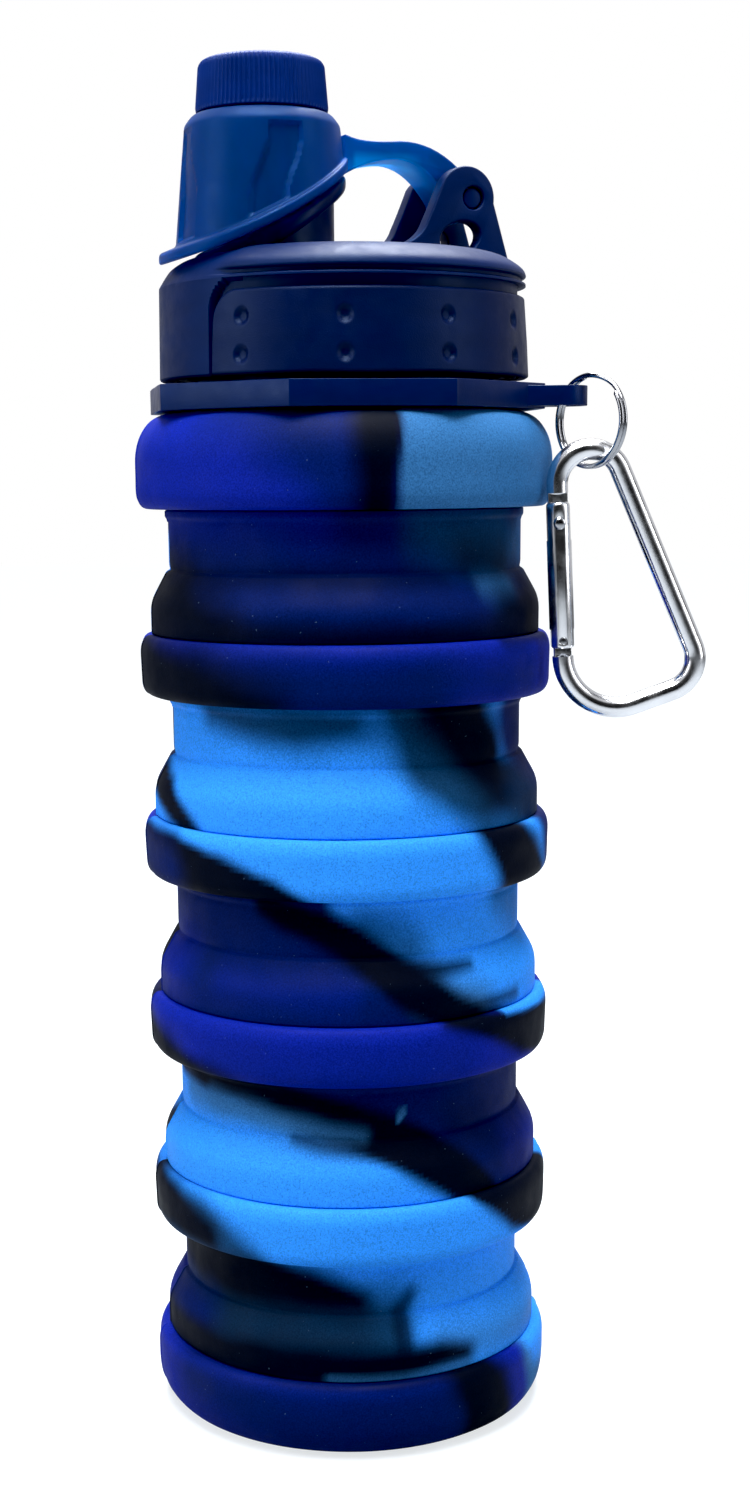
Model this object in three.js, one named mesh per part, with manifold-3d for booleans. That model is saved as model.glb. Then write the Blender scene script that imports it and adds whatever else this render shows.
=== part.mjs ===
// A folding silicone water bottle with a screw lid, a flip-over spout cover and a carabiner.
// Millimetres, +Z up. The origin is the middle of the base's underside, and the lid's hinge is on +X.

import * as THREE from 'three';
import { mergeVertices } from 'three/addons/utils/BufferGeometryUtils.js';
import Module from 'manifold-3d';

const wasm = await Module();
wasm.setup();

// Silicone body: thick rings with a thin wall between each two that rolls inwards.
const RING_RADIUS = 36;
const BAND_RADIUS = 34;
const NECK_RADIUS = 30.7;
const WALL = 2;
const FOLD_COUNT = 5;
const FOLD_PITCH = 31.8;
const RING_HEIGHT = 10.6;
const BASE_HEIGHT = 14.4;
const COLLAR_HEIGHT = 15.9;
const COLLAR_BORE = 28.4;
const SEAM = 0.2;

// Hard neck that plugs into the collar.
const NECK_OUTER = 28.1;
const NECK_INNER = 23.6;
const THREAD_ROOT = 25;
const THREAD_CREST = 26.5;
const THREAD_PITCH = 4;
const BARB_REACH = 1.6;
const MOUTH_Z = 197;
const FLANGE_BOTTOM = 178.9;
const FLANGE_THICK = 4;
const FLANGE_RADIUS = 33.6;
const SCALLOP_DEPTH = 1.5;
const SCALLOP_COUNT = 8;
const LUG_AZIMUTH = -36;
const LUG_HALF_WIDTH = 4.2;
const LUG_THICK = 3.2;
const LUG_REACH = 42.2;
const LUG_HOLE_REACH = 38.5;
const LUG_HOLE_RADIUS = 3;

// Lid, measured from its own lower edge.
const LID_Z = 184;
const LID_RADIUS = 31.5;
const LID_BORE = 28.9;
const LID_TOP = 20.7;
const DOME_TOP = 21.2;
const TOP_THICK = 1.8;
const GRIP_FLOOR = 29.8;
const GRIP_TOP = 15.2;
const GRIP_HALF_ANGLE = 155;
const DIMPLE_COLUMNS = 10;
const DIMPLE_HALF_ANGLE = 143;
const DIMPLE_ROWS = [3.2, 9.1];
const DIMPLE_RADIUS = 1.45;
const CORE_OUTER = 28.6;
const CORE_INNER = 27;

// Spout, cover and knob, on the spout's own axis; heights are still from the lid's lower edge.
const SPOUT_X = -14.1;
const SPOUT_RADIUS = 11.8;
const SPOUT_COLLAR_RADIUS = 13.8;
const SPOUT_HOLE = 12.1;
const NOZZLE_RADIUS = 7.8;
const NOZZLE_BORE = 6.3;
const NOZZLE_TOP = 40;
const BRIM_RADIUS = 15.9;
const BRIM_OFFSET = -1.8;
const BRIM_THICK = 1.6;
const BRIM_Z = 26.4;
const BRIM_TILT = 25.2;
const KNOB_RADIUS = 10.2;
const KNOB_TOP = 51.4;
const KNOB_RIBS = 36;

// Hinge of the cover, between two ears on the lid.
const HINGE_X = 20.8;
const HINGE_Z = 30;
const EAR_INNER = 4.9;
const EAR_OUTER = 8.3;
const PIN_RADIUS = 1.4;
const ARM_WIDTH = 9.2;
const KNUCKLE_RADIUS = 3.3;

// Split ring, hanging in the lug with its plane upright.
const SPLIT_RADIUS = 7.4;
const SPLIT_WIRE = 0.8;
const SPLIT_AZIMUTH = -73;
const SPLIT_DROP = 4.2;

// Carabiner, in its own plane: X away from the bottle, Z up, origin at the top bend's centre.
const BAR = 1.8;
const BEND_TOP = { x: 0, z: 0, radius: 5.5 };
const BEND_CORNER = { x: 11.4, z: -30, radius: 5.6 };
const BEND_NOSE = { x: 3.7, z: -28.6, radius: 9.2 };
const GATE_X = BEND_TOP.x - BEND_TOP.radius;
const GATE_TOP = -2.8;
const GATE_BOTTOM = -27.2;
const GATE_RADIUS = 2.1;
const GATE_SLOT = 1.7;
const TONGUE_THICK = 1.2;
const PIVOT_Z = -6.3;
const CATCH_Z = -26;
const CARABINER_AZIMUTH = -22;
const CARABINER_TILT = 2.6;

const ROUND = 24;
const SMALL_ROUND = 12;
const WELD = 1e-4;

const rad = THREE.MathUtils.degToRad;
const { lerp } = THREE.MathUtils;

// Joining and cutting

/** The geometry as a solid, with its shared corners merged and its empty triangles dropped. */
function solidOf(geometry) {
  const bare = geometry.clone();
  bare.deleteAttribute('normal');
  bare.deleteAttribute('uv');
  const welded = mergeVertices(bare, WELD);
  const corners = welded.index.array;
  const triangles = [];
  for (let i = 0; i < corners.length; i += 3) {
    const [a, b, c] = corners.slice(i, i + 3);
    if (a !== b && b !== c && c !== a) triangles.push(a, b, c);
  }
  const vertProperties = new Float32Array(welded.getAttribute('position').array);
  const triVerts = new Uint32Array(triangles);
  return new wasm.Manifold(new wasm.Mesh({ numProp: 3, vertProperties, triVerts }));
}

/** The solid as a geometry again. */
function geometryOf(solid) {
  const { vertProperties, triVerts } = solid.getMesh();
  const geometry = new THREE.BufferGeometry();
  geometry.setAttribute('position', new THREE.BufferAttribute(vertProperties, 3));
  geometry.setIndex(new THREE.BufferAttribute(triVerts, 1));
  geometry.computeVertexNormals();
  return geometry;
}

const join = (first, ...others) =>
  geometryOf(others.reduce((solid, other) => solid.add(solidOf(other)), solidOf(first)));

const cut = (first, ...tools) =>
  geometryOf(tools.reduce((solid, tool) => solid.subtract(solidOf(tool)), solidOf(first)));

const common = (first, ...others) =>
  geometryOf(others.reduce((solid, other) => solid.intersect(solidOf(other)), solidOf(first)));

// Basic forms

/** A turned form about Z. The profile is [radius, height] pairs, with the outer side going up. */
function turned(profile, segments = ROUND) {
  const loop = profile[0][0] === 0 ? profile : [...profile, profile[0]];
  const points = loop.map(([radius, height]) => new THREE.Vector2(radius, height));
  return new THREE.LatheGeometry(points, segments).rotateX(Math.PI / 2);
}

/** A round bar along Z, from bottom to top. */
function post(radius, bottom, top, segments = ROUND) {
  return turned([[0, bottom], [radius, bottom], [radius, top], [0, top]], segments);
}

/** A round bar along Y, centred on y = 0, at the given x and z. */
function crossPin(radius, length, x, z, segments = SMALL_ROUND) {
  return new THREE.CylinderGeometry(radius, radius, length, segments).translate(x, 0, z);
}

/** A flat outline in XY, pulled up from the given height. */
function slab(shape, bottom, height, curveSegments = 12) {
  const options = { depth: height, bevelEnabled: false, curveSegments };
  return new THREE.ExtrudeGeometry(shape, options).translate(0, 0, bottom);
}

/** A flat outline in XZ, given a width along Y and centred on y = centre. */
function plate(shape, width, centre = 0, curveSegments = 8) {
  const options = { depth: width, bevelEnabled: false, curveSegments };
  const flat = new THREE.ExtrudeGeometry(shape, options).translate(0, 0, -width / 2);
  return flat.rotateX(Math.PI / 2).translate(0, centre, 0);
}

/** An upright block from one corner to the opposite one. */
function block([x0, y0, z0], [x1, y1, z1]) {
  const box = new THREE.BoxGeometry(x1 - x0, y1 - y0, z1 - z0);
  return box.translate((x0 + x1) / 2, (y0 + y1) / 2, (z0 + z1) / 2);
}

/** Part of a flat ring, centred on +X and reaching halfAngle degrees each way. */
function sector(inner, outer, halfAngle, bottom, height) {
  const reach = rad(halfAngle);
  const shape = new THREE.Shape();
  shape.absarc(0, 0, outer, -reach, reach, false);
  shape.absarc(0, 0, inner, reach, -reach, true);
  return slab(shape, bottom, height, 20);
}

/** A round bar swept along a curve. */
function swept(curve, radius, steps, sides) {
  const section = new THREE.Shape().absarc(0, 0, radius, 0, Math.PI * 2, false);
  return new THREE.ExtrudeGeometry(section, { extrudePath: curve, steps, curveSegments: sides / 2 });
}

/** A screw thread's ridge: a box bent into a helix, narrower at the crest and fading at both ends. */
function threadRidge({ root, crest, turns, bottom, pitch, width }) {
  const ridge = new THREE.BoxGeometry(1, 1, 1, Math.round(turns * ROUND), 1, 1);
  const corners = ridge.getAttribute('position');
  const handed = Math.sign(root - crest);
  for (let i = 0; i < corners.count; i++) {
    const along = corners.getX(i) + 0.5;
    const out = corners.getY(i) + 0.5;
    const fade = Math.min(1, 0.2 + 8 * turns * Math.min(along, 1 - along));
    const radius = lerp(root, crest, out * fade);
    const halfWidth = handed * corners.getZ(i) * lerp(width, width * 0.45, out);
    const angle = along * turns * 2 * Math.PI;
    const height = bottom + along * turns * pitch + halfWidth;
    corners.setXYZ(i, radius * Math.cos(angle), radius * Math.sin(angle), height);
  }
  return ridge;
}

// Silicone body. Each piece is built from its own lower face.

function siliconeBase() {
  const top = BASE_HEIGHT - SEAM;
  return turned([
    [0, 0], [30.5, 0], [33.8, 1.2], [35.5, 3.8], [RING_RADIUS, 7], [RING_RADIUS, top - 1.6],
    [RING_RADIUS - 0.8, top], [BAND_RADIUS - WALL, top], [BAND_RADIUS - WALL, 5.5], [30, 3], [0, 3],
  ]);
}

function foldWall() {
  const bottom = SEAM;
  const top = FOLD_PITCH - RING_HEIGHT - SEAM;
  const bandTop = 5.2;
  const neckStart = 10.8;
  return turned([
    [BAND_RADIUS, bottom], [BAND_RADIUS, bandTop], [NECK_RADIUS, neckStart], [NECK_RADIUS, top],
    [NECK_RADIUS - WALL, top], [NECK_RADIUS - WALL, neckStart - 0.6],
    [BAND_RADIUS - WALL, bandTop - 0.6], [BAND_RADIUS - WALL, bottom],
  ]);
}

function siliconeRing() {
  const top = RING_HEIGHT - SEAM;
  return turned([
    [NECK_RADIUS - WALL, 0], [RING_RADIUS - 1, 0], [RING_RADIUS - 0.3, 1.2], [RING_RADIUS, 8.8],
    [RING_RADIUS - 0.8, top], [BAND_RADIUS - WALL, top], [BAND_RADIUS - WALL, 2], [NECK_RADIUS - WALL, 2],
  ]);
}

function siliconeCollar() {
  return turned([
    [COLLAR_BORE, 0], [RING_RADIUS - 1, 0], [RING_RADIUS - 0.2, 1.4], [RING_RADIUS, 2.6],
    [RING_RADIUS, 9.2], [RING_RADIUS - 0.8, 12.3], [RING_RADIUS - 2.6, 14.7], [31, COLLAR_HEIGHT],
    [COLLAR_BORE, COLLAR_HEIGHT], [COLLAR_BORE, 8.2], [COLLAR_BORE + BARB_REACH, 8.2],
    [COLLAR_BORE + BARB_REACH, 5.4], [COLLAR_BORE, 5.4],
  ]);
}

// Neck

/** The scalloped flange, with a lobe facing the lug. */
function flangeOutline() {
  const shape = new THREE.Shape();
  const steps = SCALLOP_COUNT * 6;
  for (let i = 0; i < steps; i++) {
    const angle = (i / steps) * 2 * Math.PI;
    const wave = Math.cos(SCALLOP_COUNT * (angle - rad(LUG_AZIMUTH)));
    const radius = FLANGE_RADIUS + SCALLOP_DEPTH * wave;
    const corner = [radius * Math.cos(angle), radius * Math.sin(angle)];
    if (i === 0) shape.moveTo(...corner);
    else shape.lineTo(...corner);
  }
  shape.closePath();
  return shape;
}

function lugOutline() {
  const shape = new THREE.Shape();
  shape.moveTo(30, -LUG_HALF_WIDTH);
  shape.lineTo(LUG_REACH - LUG_HALF_WIDTH, -LUG_HALF_WIDTH);
  shape.absarc(LUG_REACH - LUG_HALF_WIDTH, 0, LUG_HALF_WIDTH, -Math.PI / 2, Math.PI / 2, false);
  shape.lineTo(30, LUG_HALF_WIDTH);
  shape.closePath();
  return shape;
}

function neckRing() {
  const flangeTop = FLANGE_BOTTOM + FLANGE_THICK;
  const tube = turned([
    [NECK_INNER, 165], [NECK_OUTER, 165], [NECK_OUTER, 168.5], [NECK_OUTER + BARB_REACH, 168.5],
    [NECK_OUTER + BARB_REACH, 170.7], [NECK_OUTER, 170.7], [NECK_OUTER, flangeTop - 1],
    [THREAD_ROOT, flangeTop - 1], [THREAD_ROOT, MOUTH_Z - 0.6], [THREAD_ROOT - 0.6, MOUTH_Z],
    [NECK_INNER, MOUTH_Z],
  ]);
  const flange = slab(flangeOutline(), FLANGE_BOTTOM, FLANGE_THICK);
  const lugBottom = FLANGE_BOTTOM + (FLANGE_THICK - LUG_THICK) / 2;
  const lug = slab(lugOutline(), lugBottom, LUG_THICK).rotateZ(rad(LUG_AZIMUTH));
  const bore = post(NECK_INNER, FLANGE_BOTTOM - 1, flangeTop + 1);
  const lugHole = post(LUG_HOLE_RADIUS, FLANGE_BOTTOM - 1, flangeTop + 1, SMALL_ROUND);
  lugHole.translate(LUG_HOLE_REACH, 0, 0).rotateZ(rad(LUG_AZIMUTH));
  const ridge = threadRidge({
    root: THREAD_ROOT - 0.3, crest: THREAD_CREST, turns: 1.25, bottom: 188.5, pitch: THREAD_PITCH, width: 2.2,
  });
  return join(cut(join(flange, lug), bore, lugHole), tube, ridge);
}

// Lid

function earOutline() {
  const shape = new THREE.Shape();
  shape.moveTo(9, LID_TOP - 1.2);
  shape.lineTo(25.6, LID_TOP - 1.2);
  shape.lineTo(27.6, 18.2);
  shape.lineTo(24.4, 29);
  shape.absarc(19.6, HINGE_Z, 5.1, rad(-10), rad(150), false);
  shape.quadraticCurveTo(13.4, 27.5, 12.2, 23.5);
  shape.quadraticCurveTo(11.6, 21.6, 9, 20.6);
  shape.closePath();
  const window = new THREE.Path();
  window.absellipse(18.5, 23.9, 3.7, 2.5, 0, 2 * Math.PI, false, rad(18));
  const pinHole = new THREE.Path();
  pinHole.absarc(HINGE_X, HINGE_Z, PIN_RADIUS + 0.25, 0, 2 * Math.PI, false);
  shape.holes.push(window, pinHole);
  return shape;
}

function lidShell() {
  const skirt = turned([
    [0, LID_TOP - TOP_THICK], [LID_BORE - 1.5, LID_TOP - TOP_THICK], [LID_BORE, LID_TOP - TOP_THICK - 1.5],
    [LID_BORE, 0], [LID_RADIUS, 0], [LID_RADIUS - 0.3, GRIP_TOP + 0.4], [30.3, GRIP_TOP + 0.7],
    [30.3, GRIP_TOP + 1.3], [LID_RADIUS - 0.3, GRIP_TOP + 1.7], [30.6, 17.9], [25.5, 20.3],
    [19, DOME_TOP], [0, DOME_TOP],
  ]);
  const pocket = sector(GRIP_FLOOR, LID_RADIUS + 2, GRIP_HALF_ANGLE, -1, GRIP_TOP + 1);
  const spoutHole = post(SPOUT_HOLE, 10, LID_TOP + 5).translate(SPOUT_X, 0, 0);
  const earCentre = (EAR_INNER + EAR_OUTER) / 2;
  const ears = [-earCentre, earCentre].map((y) => plate(earOutline(), EAR_OUTER - EAR_INNER, y));
  return join(cut(skirt, pocket, spoutHole), ...ears);
}

function gripBand() {
  const ring = turned([
    [GRIP_FLOOR + 0.5, 0.1], [LID_RADIUS + 0.3, 0.1], [LID_RADIUS, 6], [LID_RADIUS - 0.5, GRIP_TOP - 2.2],
    [LID_RADIUS - 0.9, GRIP_TOP - 1.8], [GRIP_FLOOR + 0.5, GRIP_TOP - 1.8],
  ]);
  const reach = sector(GRIP_FLOOR - 1, LID_RADIUS + 2, GRIP_HALF_ANGLE - 1.3, 0, GRIP_TOP);
  const dimples = [];
  for (let column = 0; column < DIMPLE_COLUMNS; column++) {
    const azimuth = lerp(-DIMPLE_HALF_ANGLE, DIMPLE_HALF_ANGLE, column / (DIMPLE_COLUMNS - 1));
    for (const height of DIMPLE_ROWS) {
      const ball = new THREE.IcosahedronGeometry(DIMPLE_RADIUS, 0);
      dimples.push(ball.translate(LID_RADIUS + 0.6, 0, height).rotateZ(rad(azimuth)));
    }
  }
  return cut(common(ring, reach), ...dimples);
}

function lidSeal() {
  const bottom = MOUTH_Z + 0.3 - LID_Z;
  return turned([[22.8, bottom], [26.4, bottom], [26.4, bottom + 2.2], [22.8, bottom + 2.2]]);
}

/** A flat layer tilted like the cover's brim, from one depth to another above the brim's underside. */
function tiltedLayer(from, to) {
  const layer = block([-60, -60, from], [60, 60, to]);
  return layer.rotateY(rad(-BRIM_TILT)).translate(0, 0, BRIM_Z);
}

/** The spout on the lid's core, built on the spout's axis. */
function spoutForm() {
  const foot = cut(post(SPOUT_RADIUS, 17, 45), tiltedLayer(-1, 60));
  const clear = block([-60, -60, LID_TOP + 0.4], [60, 60, 60]);
  const rim = common(post(SPOUT_COLLAR_RADIUS, 0, 60), tiltedLayer(-2.6, -0.4), clear);
  const nozzle = turned([
    [0, 20], [NOZZLE_RADIUS, 20], [NOZZLE_RADIUS, NOZZLE_TOP - 0.5], [NOZZLE_RADIUS - 0.5, NOZZLE_TOP],
    [0, NOZZLE_TOP],
  ], 20);
  const ridge = threadRidge({
    root: NOZZLE_RADIUS - 0.3, crest: NOZZLE_RADIUS + 0.6, turns: 1, bottom: 33.4, pitch: 3, width: 1.4,
  });
  return join(foot, rim, nozzle, ridge);
}

function lidCore() {
  const floor = 15.8;
  const cup = turned([
    [0, floor], [CORE_INNER, floor], [CORE_INNER, 0.4], [CORE_OUTER, 0.4], [CORE_OUTER, 17.1],
    [CORE_INNER, 18.6], [0, 18.6],
  ]);
  const ridge = threadRidge({
    root: CORE_INNER + 0.3, crest: 25.5, turns: 1, bottom: 186.5 - LID_Z, pitch: THREAD_PITCH, width: 2.2,
  });
  const spout = spoutForm().translate(SPOUT_X, 0, 0);
  const bore = post(NOZZLE_BORE, 0, NOZZLE_TOP + 5, 20).translate(SPOUT_X, 0, 0);
  return cut(join(cup, ridge, spout), bore);
}

// Cover, knob and stopper, built on the spout's axis

function armOutline() {
  const knuckleX = HINGE_X - SPOUT_X;
  const shape = new THREE.Shape();
  shape.moveTo(12.2, 32.4);
  shape.quadraticCurveTo(18, 35.6, 23.1, 35.6);
  shape.quadraticCurveTo(27.6, 35.2, knuckleX - 2.6, HINGE_Z - 1);
  shape.lineTo(knuckleX + 1, HINGE_Z + 3);
  shape.quadraticCurveTo(30, 39.2, 23.1, 38.9);
  shape.quadraticCurveTo(17, 38.4, 12.2, 40.4);
  shape.closePath();
  return shape;
}

function spoutCover() {
  const outside = turned([[0, 16], [15.3, 16], [13, 40.4], [11.3, 43.2], [0, 43.2]]);
  const brim = common(post(BRIM_RADIUS, 10, 50).translate(BRIM_OFFSET, 0, 0), tiltedLayer(0, BRIM_THICK));
  const knuckle = crossPin(KNUCKLE_RADIUS, ARM_WIDTH, HINGE_X - SPOUT_X, HINGE_Z, 20);
  const arm = plate(armOutline(), ARM_WIDTH);
  const hollow = turned([[0, 10], [13.7, 10], [13.7, 16], [11.5, 40], [11.2, 41.8], [0, 41.8]]);
  const mouth = post(9.9, 40, 50);
  const pinBore = crossPin(PIN_RADIUS + 0.3, 20, HINGE_X - SPOUT_X, HINGE_Z);
  const scoops = [90, 180, 270].map((azimuth) => {
    const ball = new THREE.IcosahedronGeometry(6, 1).scale(1, 0.7, 1.25);
    return ball.translate(19.2, 0, 35).rotateZ(rad(azimuth));
  });
  const sleeve = cut(outside, tiltedLayer(-60, 0));
  return cut(join(sleeve, brim, arm, knuckle), hollow, mouth, pinBore, ...scoops);
}

/** A round outline with fine upright ribs. */
function ribbedOutline() {
  const shape = new THREE.Shape();
  const steps = KNOB_RIBS * 2;
  for (let i = 0; i < steps; i++) {
    const angle = (i / steps) * 2 * Math.PI;
    const radius = KNOB_RADIUS + (i % 2 ? 0.5 : 0);
    const corner = [radius * Math.cos(angle), radius * Math.sin(angle)];
    if (i === 0) shape.moveTo(...corner);
    else shape.lineTo(...corner);
  }
  shape.closePath();
  return shape;
}

function capKnob() {
  const body = turned([
    [0, 49.8], [8.9, 49.8], [8.9, 37.5], [9.6, 37.5], [9.6, 39.7], [10.9, 39.7], [10.9, 41.5],
    [9.6, 41.5], [9.6, 43.5], [KNOB_RADIUS, 43.5], [KNOB_RADIUS, 49.6], [9.6, 50.6], [8.4, KNOB_TOP],
    [0, KNOB_TOP],
  ]);
  const ribs = cut(slab(ribbedOutline(), 43.5, 6.1), post(9.5, 40, 55));
  return join(body, ribs);
}

function capSeal() {
  const bottom = NOZZLE_TOP + 0.3;
  return turned([
    [0, bottom], [7.4, bottom], [7.4, bottom + 1.9], [5, bottom + 1.9], [5, 49.5], [0, 49.5],
  ], 20);
}

// Split ring and carabiner

function splitRing() {
  return new THREE.TorusGeometry(SPLIT_RADIUS, SPLIT_WIRE, 6, 24).rotateX(Math.PI / 2);
}

/** The direction from a bend's centre to where a straight bar leaves it for the next bend. */
function tangentAngle(from, to) {
  const along = Math.atan2(to.z - from.z, to.x - from.x);
  const distance = Math.hypot(to.x - from.x, to.z - from.z);
  return along + Math.acos((from.radius - to.radius) / distance);
}

function carabinerLine() {
  const outerSide = tangentAngle(BEND_TOP, BEND_CORNER);
  const underside = tangentAngle(BEND_CORNER, BEND_NOSE);
  const path = new THREE.Path();
  path.moveTo(GATE_X, -1.6);
  path.lineTo(GATE_X, BEND_TOP.z);
  path.absarc(BEND_TOP.x, BEND_TOP.z, BEND_TOP.radius, Math.PI, outerSide, true);
  path.absarc(BEND_CORNER.x, BEND_CORNER.z, BEND_CORNER.radius, outerSide, underside, true);
  path.absarc(BEND_NOSE.x, BEND_NOSE.z, BEND_NOSE.radius, underside, Math.PI, true);
  path.lineTo(GATE_X, GATE_BOTTOM - 0.8);
  const points = path.getSpacedPoints(60).map(({ x, y }) => new THREE.Vector3(x, 0, y));
  return new THREE.CatmullRomCurve3(points);
}

function hingeTongue() {
  const shape = new THREE.Shape();
  shape.moveTo(GATE_X - 1.7, -0.6);
  shape.absarc(GATE_X, PIVOT_Z, 1.7, -Math.PI, 0, false);
  shape.lineTo(GATE_X + 1.7, -0.6);
  shape.closePath();
  const hole = new THREE.Path();
  hole.absarc(GATE_X, PIVOT_Z, 0.9, 0, 2 * Math.PI, false);
  shape.holes.push(hole);
  return plate(shape, TONGUE_THICK, 0, 6);
}

function noseTongue() {
  const outline = [
    [-1.5, GATE_BOTTOM - 2], [1.5, GATE_BOTTOM - 2], [1.5, CATCH_Z - 0.9], [-0.9, CATCH_Z - 0.9],
    [-0.9, CATCH_Z + 0.9], [1.5, CATCH_Z + 0.9], [1.2, CATCH_Z + 1.3], [-1.5, CATCH_Z + 1.3],
  ];
  const shape = new THREE.Shape(outline.map(([x, z]) => new THREE.Vector2(GATE_X + x, z)));
  return plate(shape, TONGUE_THICK);
}

function carabinerFrame() {
  return join(swept(carabinerLine(), BAR, 40, 8), hingeTongue(), noseTongue());
}

function carabinerGate() {
  const bar = post(GATE_RADIUS, GATE_BOTTOM, GATE_TOP, SMALL_ROUND).translate(GATE_X, 0, 0);
  const halfSlot = GATE_SLOT / 2;
  const hingeSlot = block([GATE_X - 5, -halfSlot, -9.2], [GATE_X + 5, halfSlot, 0]);
  const noseSlot = block([GATE_X - 5, -halfSlot, -30], [GATE_X + 5, halfSlot, -24]);
  const springBore = post(1.1, -16.6, -8.6, SMALL_ROUND).translate(GATE_X, 0, 0);
  const rivetHole = crossPin(0.8, 10, GATE_X, PIVOT_Z);
  const catchHole = crossPin(0.75, 10, GATE_X, CATCH_Z);
  return cut(bar, hingeSlot, noseSlot, springBore, rivetHole, catchHole);
}

function gateRivet() {
  const headStart = GATE_RADIUS + 0.15;
  const headEnd = GATE_RADIUS + 0.6;
  const rivet = turned([
    [0, -headEnd], [0.8, -headEnd], [1.1, -headStart], [0.55, -headStart], [0.55, headStart],
    [1.1, headStart], [0.8, headEnd], [0, headEnd],
  ], SMALL_ROUND);
  return rivet.rotateX(Math.PI / 2).translate(GATE_X, 0, PIVOT_Z);
}

function gateSpring() {
  const turns = 5;
  const bottom = -16.3;
  const top = -11;
  class Coil extends THREE.Curve {
    getPoint(share, target = new THREE.Vector3()) {
      const angle = share * turns * 2 * Math.PI;
      return target.set(GATE_X + 0.7 * Math.cos(angle), 0.7 * Math.sin(angle), lerp(bottom, top, share));
    }
  }
  return swept(new Coil(), 0.18, turns * 8, 4);
}

// Materials

const silicone = (colour) => new THREE.MeshStandardMaterial({ color: colour, roughness: 0.75, metalness: 0 });
const royalBlue = silicone(0x1c2bb4);
const skyBlue = silicone(0x3192e0);
const inkBlue = silicone(0x0f1a33);
const lidPlastic = new THREE.MeshStandardMaterial({ color: 0x12266b, roughness: 0.45, metalness: 0 });
const coverPlastic = new THREE.MeshStandardMaterial({ color: 0x1450a8, roughness: 0.35, metalness: 0 });
const sealRubber = new THREE.MeshStandardMaterial({ color: 0xd8dce0, roughness: 0.7, metalness: 0 });
const polishedSteel = new THREE.MeshStandardMaterial({ color: 0xc8c8cc, roughness: 0.2, metalness: 1 });

// Assembly

/** A named mesh of its own, ready to be placed. */
function piece(name, geometry, material, place = [0, 0, 0]) {
  const mesh = new THREE.Mesh(join(geometry), material);
  mesh.name = name;
  mesh.position.set(...place);
  return mesh;
}

function siliconeBody() {
  const group = new THREE.Group();
  const wallColours = [inkBlue, skyBlue, royalBlue, skyBlue, royalBlue];
  const ringColours = [skyBlue, royalBlue, skyBlue, royalBlue];
  group.add(piece('silicone_base', siliconeBase(), royalBlue));
  for (let fold = 1; fold <= FOLD_COUNT; fold++) {
    const wallZ = BASE_HEIGHT + FOLD_PITCH * (fold - 1);
    const ringZ = wallZ + FOLD_PITCH - RING_HEIGHT;
    group.add(piece(`fold_wall_${fold}`, foldWall(), wallColours[fold - 1], [0, 0, wallZ]));
    if (fold < FOLD_COUNT) {
      group.add(piece(`silicone_ring_${fold}`, siliconeRing(), ringColours[fold - 1], [0, 0, ringZ]));
    } else {
      group.add(piece('silicone_collar', siliconeCollar(), royalBlue, [0, 0, ringZ]));
    }
  }
  return group;
}

function lidAssembly() {
  const lid = new THREE.Group();
  lid.position.z = LID_Z;
  const pin = crossPin(PIN_RADIUS, 2 * EAR_OUTER - 1, HINGE_X, HINGE_Z);
  lid.add(piece('lid_shell', lidShell(), lidPlastic));
  lid.add(piece('lid_core', lidCore(), lidPlastic));
  lid.add(piece('grip_band', gripBand(), lidPlastic));
  lid.add(piece('lid_seal', lidSeal(), sealRubber));
  lid.add(piece('hinge_pin', pin, lidPlastic));
  const spoutAxis = new THREE.Group();
  spoutAxis.position.x = SPOUT_X;
  spoutAxis.add(piece('spout_cover', spoutCover(), coverPlastic));
  spoutAxis.add(piece('cap_knob', capKnob(), lidPlastic));
  spoutAxis.add(piece('cap_seal', capSeal(), sealRubber));
  lid.add(spoutAxis);
  return lid;
}

function carryHardware() {
  const lugAngle = rad(LUG_AZIMUTH);
  const splitAngle = rad(SPLIT_AZIMUTH);
  const ringOffset = Math.sqrt(SPLIT_RADIUS ** 2 - SPLIT_DROP ** 2);
  const hardware = new THREE.Group();
  hardware.position.set(
    LUG_HOLE_REACH * Math.cos(lugAngle) + ringOffset * Math.cos(splitAngle),
    LUG_HOLE_REACH * Math.sin(lugAngle) + ringOffset * Math.sin(splitAngle),
    FLANGE_BOTTOM + FLANGE_THICK / 2 - SPLIT_DROP,
  );
  const ring = piece('split_ring', splitRing(), polishedSteel);
  ring.rotation.z = splitAngle;
  const plane = new THREE.Group();
  plane.position.z = SPLIT_WIRE + BAR + 0.2 - SPLIT_RADIUS - BEND_TOP.radius;
  plane.rotation.z = rad(CARABINER_AZIMUTH);
  const carabiner = new THREE.Group();
  carabiner.rotation.y = rad(-CARABINER_TILT);
  const plunger = post(0.75, -10.7, -8.4, SMALL_ROUND).translate(GATE_X, 0, 0);
  const catchPin = crossPin(0.55, 3.8, GATE_X, CATCH_Z);
  carabiner.add(piece('carabiner_frame', carabinerFrame(), polishedSteel));
  carabiner.add(piece('carabiner_gate', carabinerGate(), polishedSteel));
  carabiner.add(piece('gate_rivet', gateRivet(), polishedSteel));
  carabiner.add(piece('gate_catch_pin', catchPin, polishedSteel));
  carabiner.add(piece('gate_plunger', plunger, polishedSteel));
  carabiner.add(piece('gate_spring', gateSpring(), polishedSteel));
  plane.add(carabiner);
  hardware.add(ring, plane);
  return hardware;
}

const bottle = new THREE.Group();
bottle.add(siliconeBody());
bottle.add(piece('neck_ring', neckRing(), lidPlastic));
bottle.add(lidAssembly());
bottle.add(carryHardware());

export default bottle;
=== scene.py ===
"""Looks of the folding silicone water bottle: fine meshes over the CAD frame, materials, light and camera.

Lengths in this file are millimetres and angles are degrees. Each piece is built in the frame's own axes:
+Z up, the origin under the base, +X from the spout towards the lid's hinge.
"""
import math

import bpy
import bmesh
from mathutils import Matrix, Vector, noise


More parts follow.
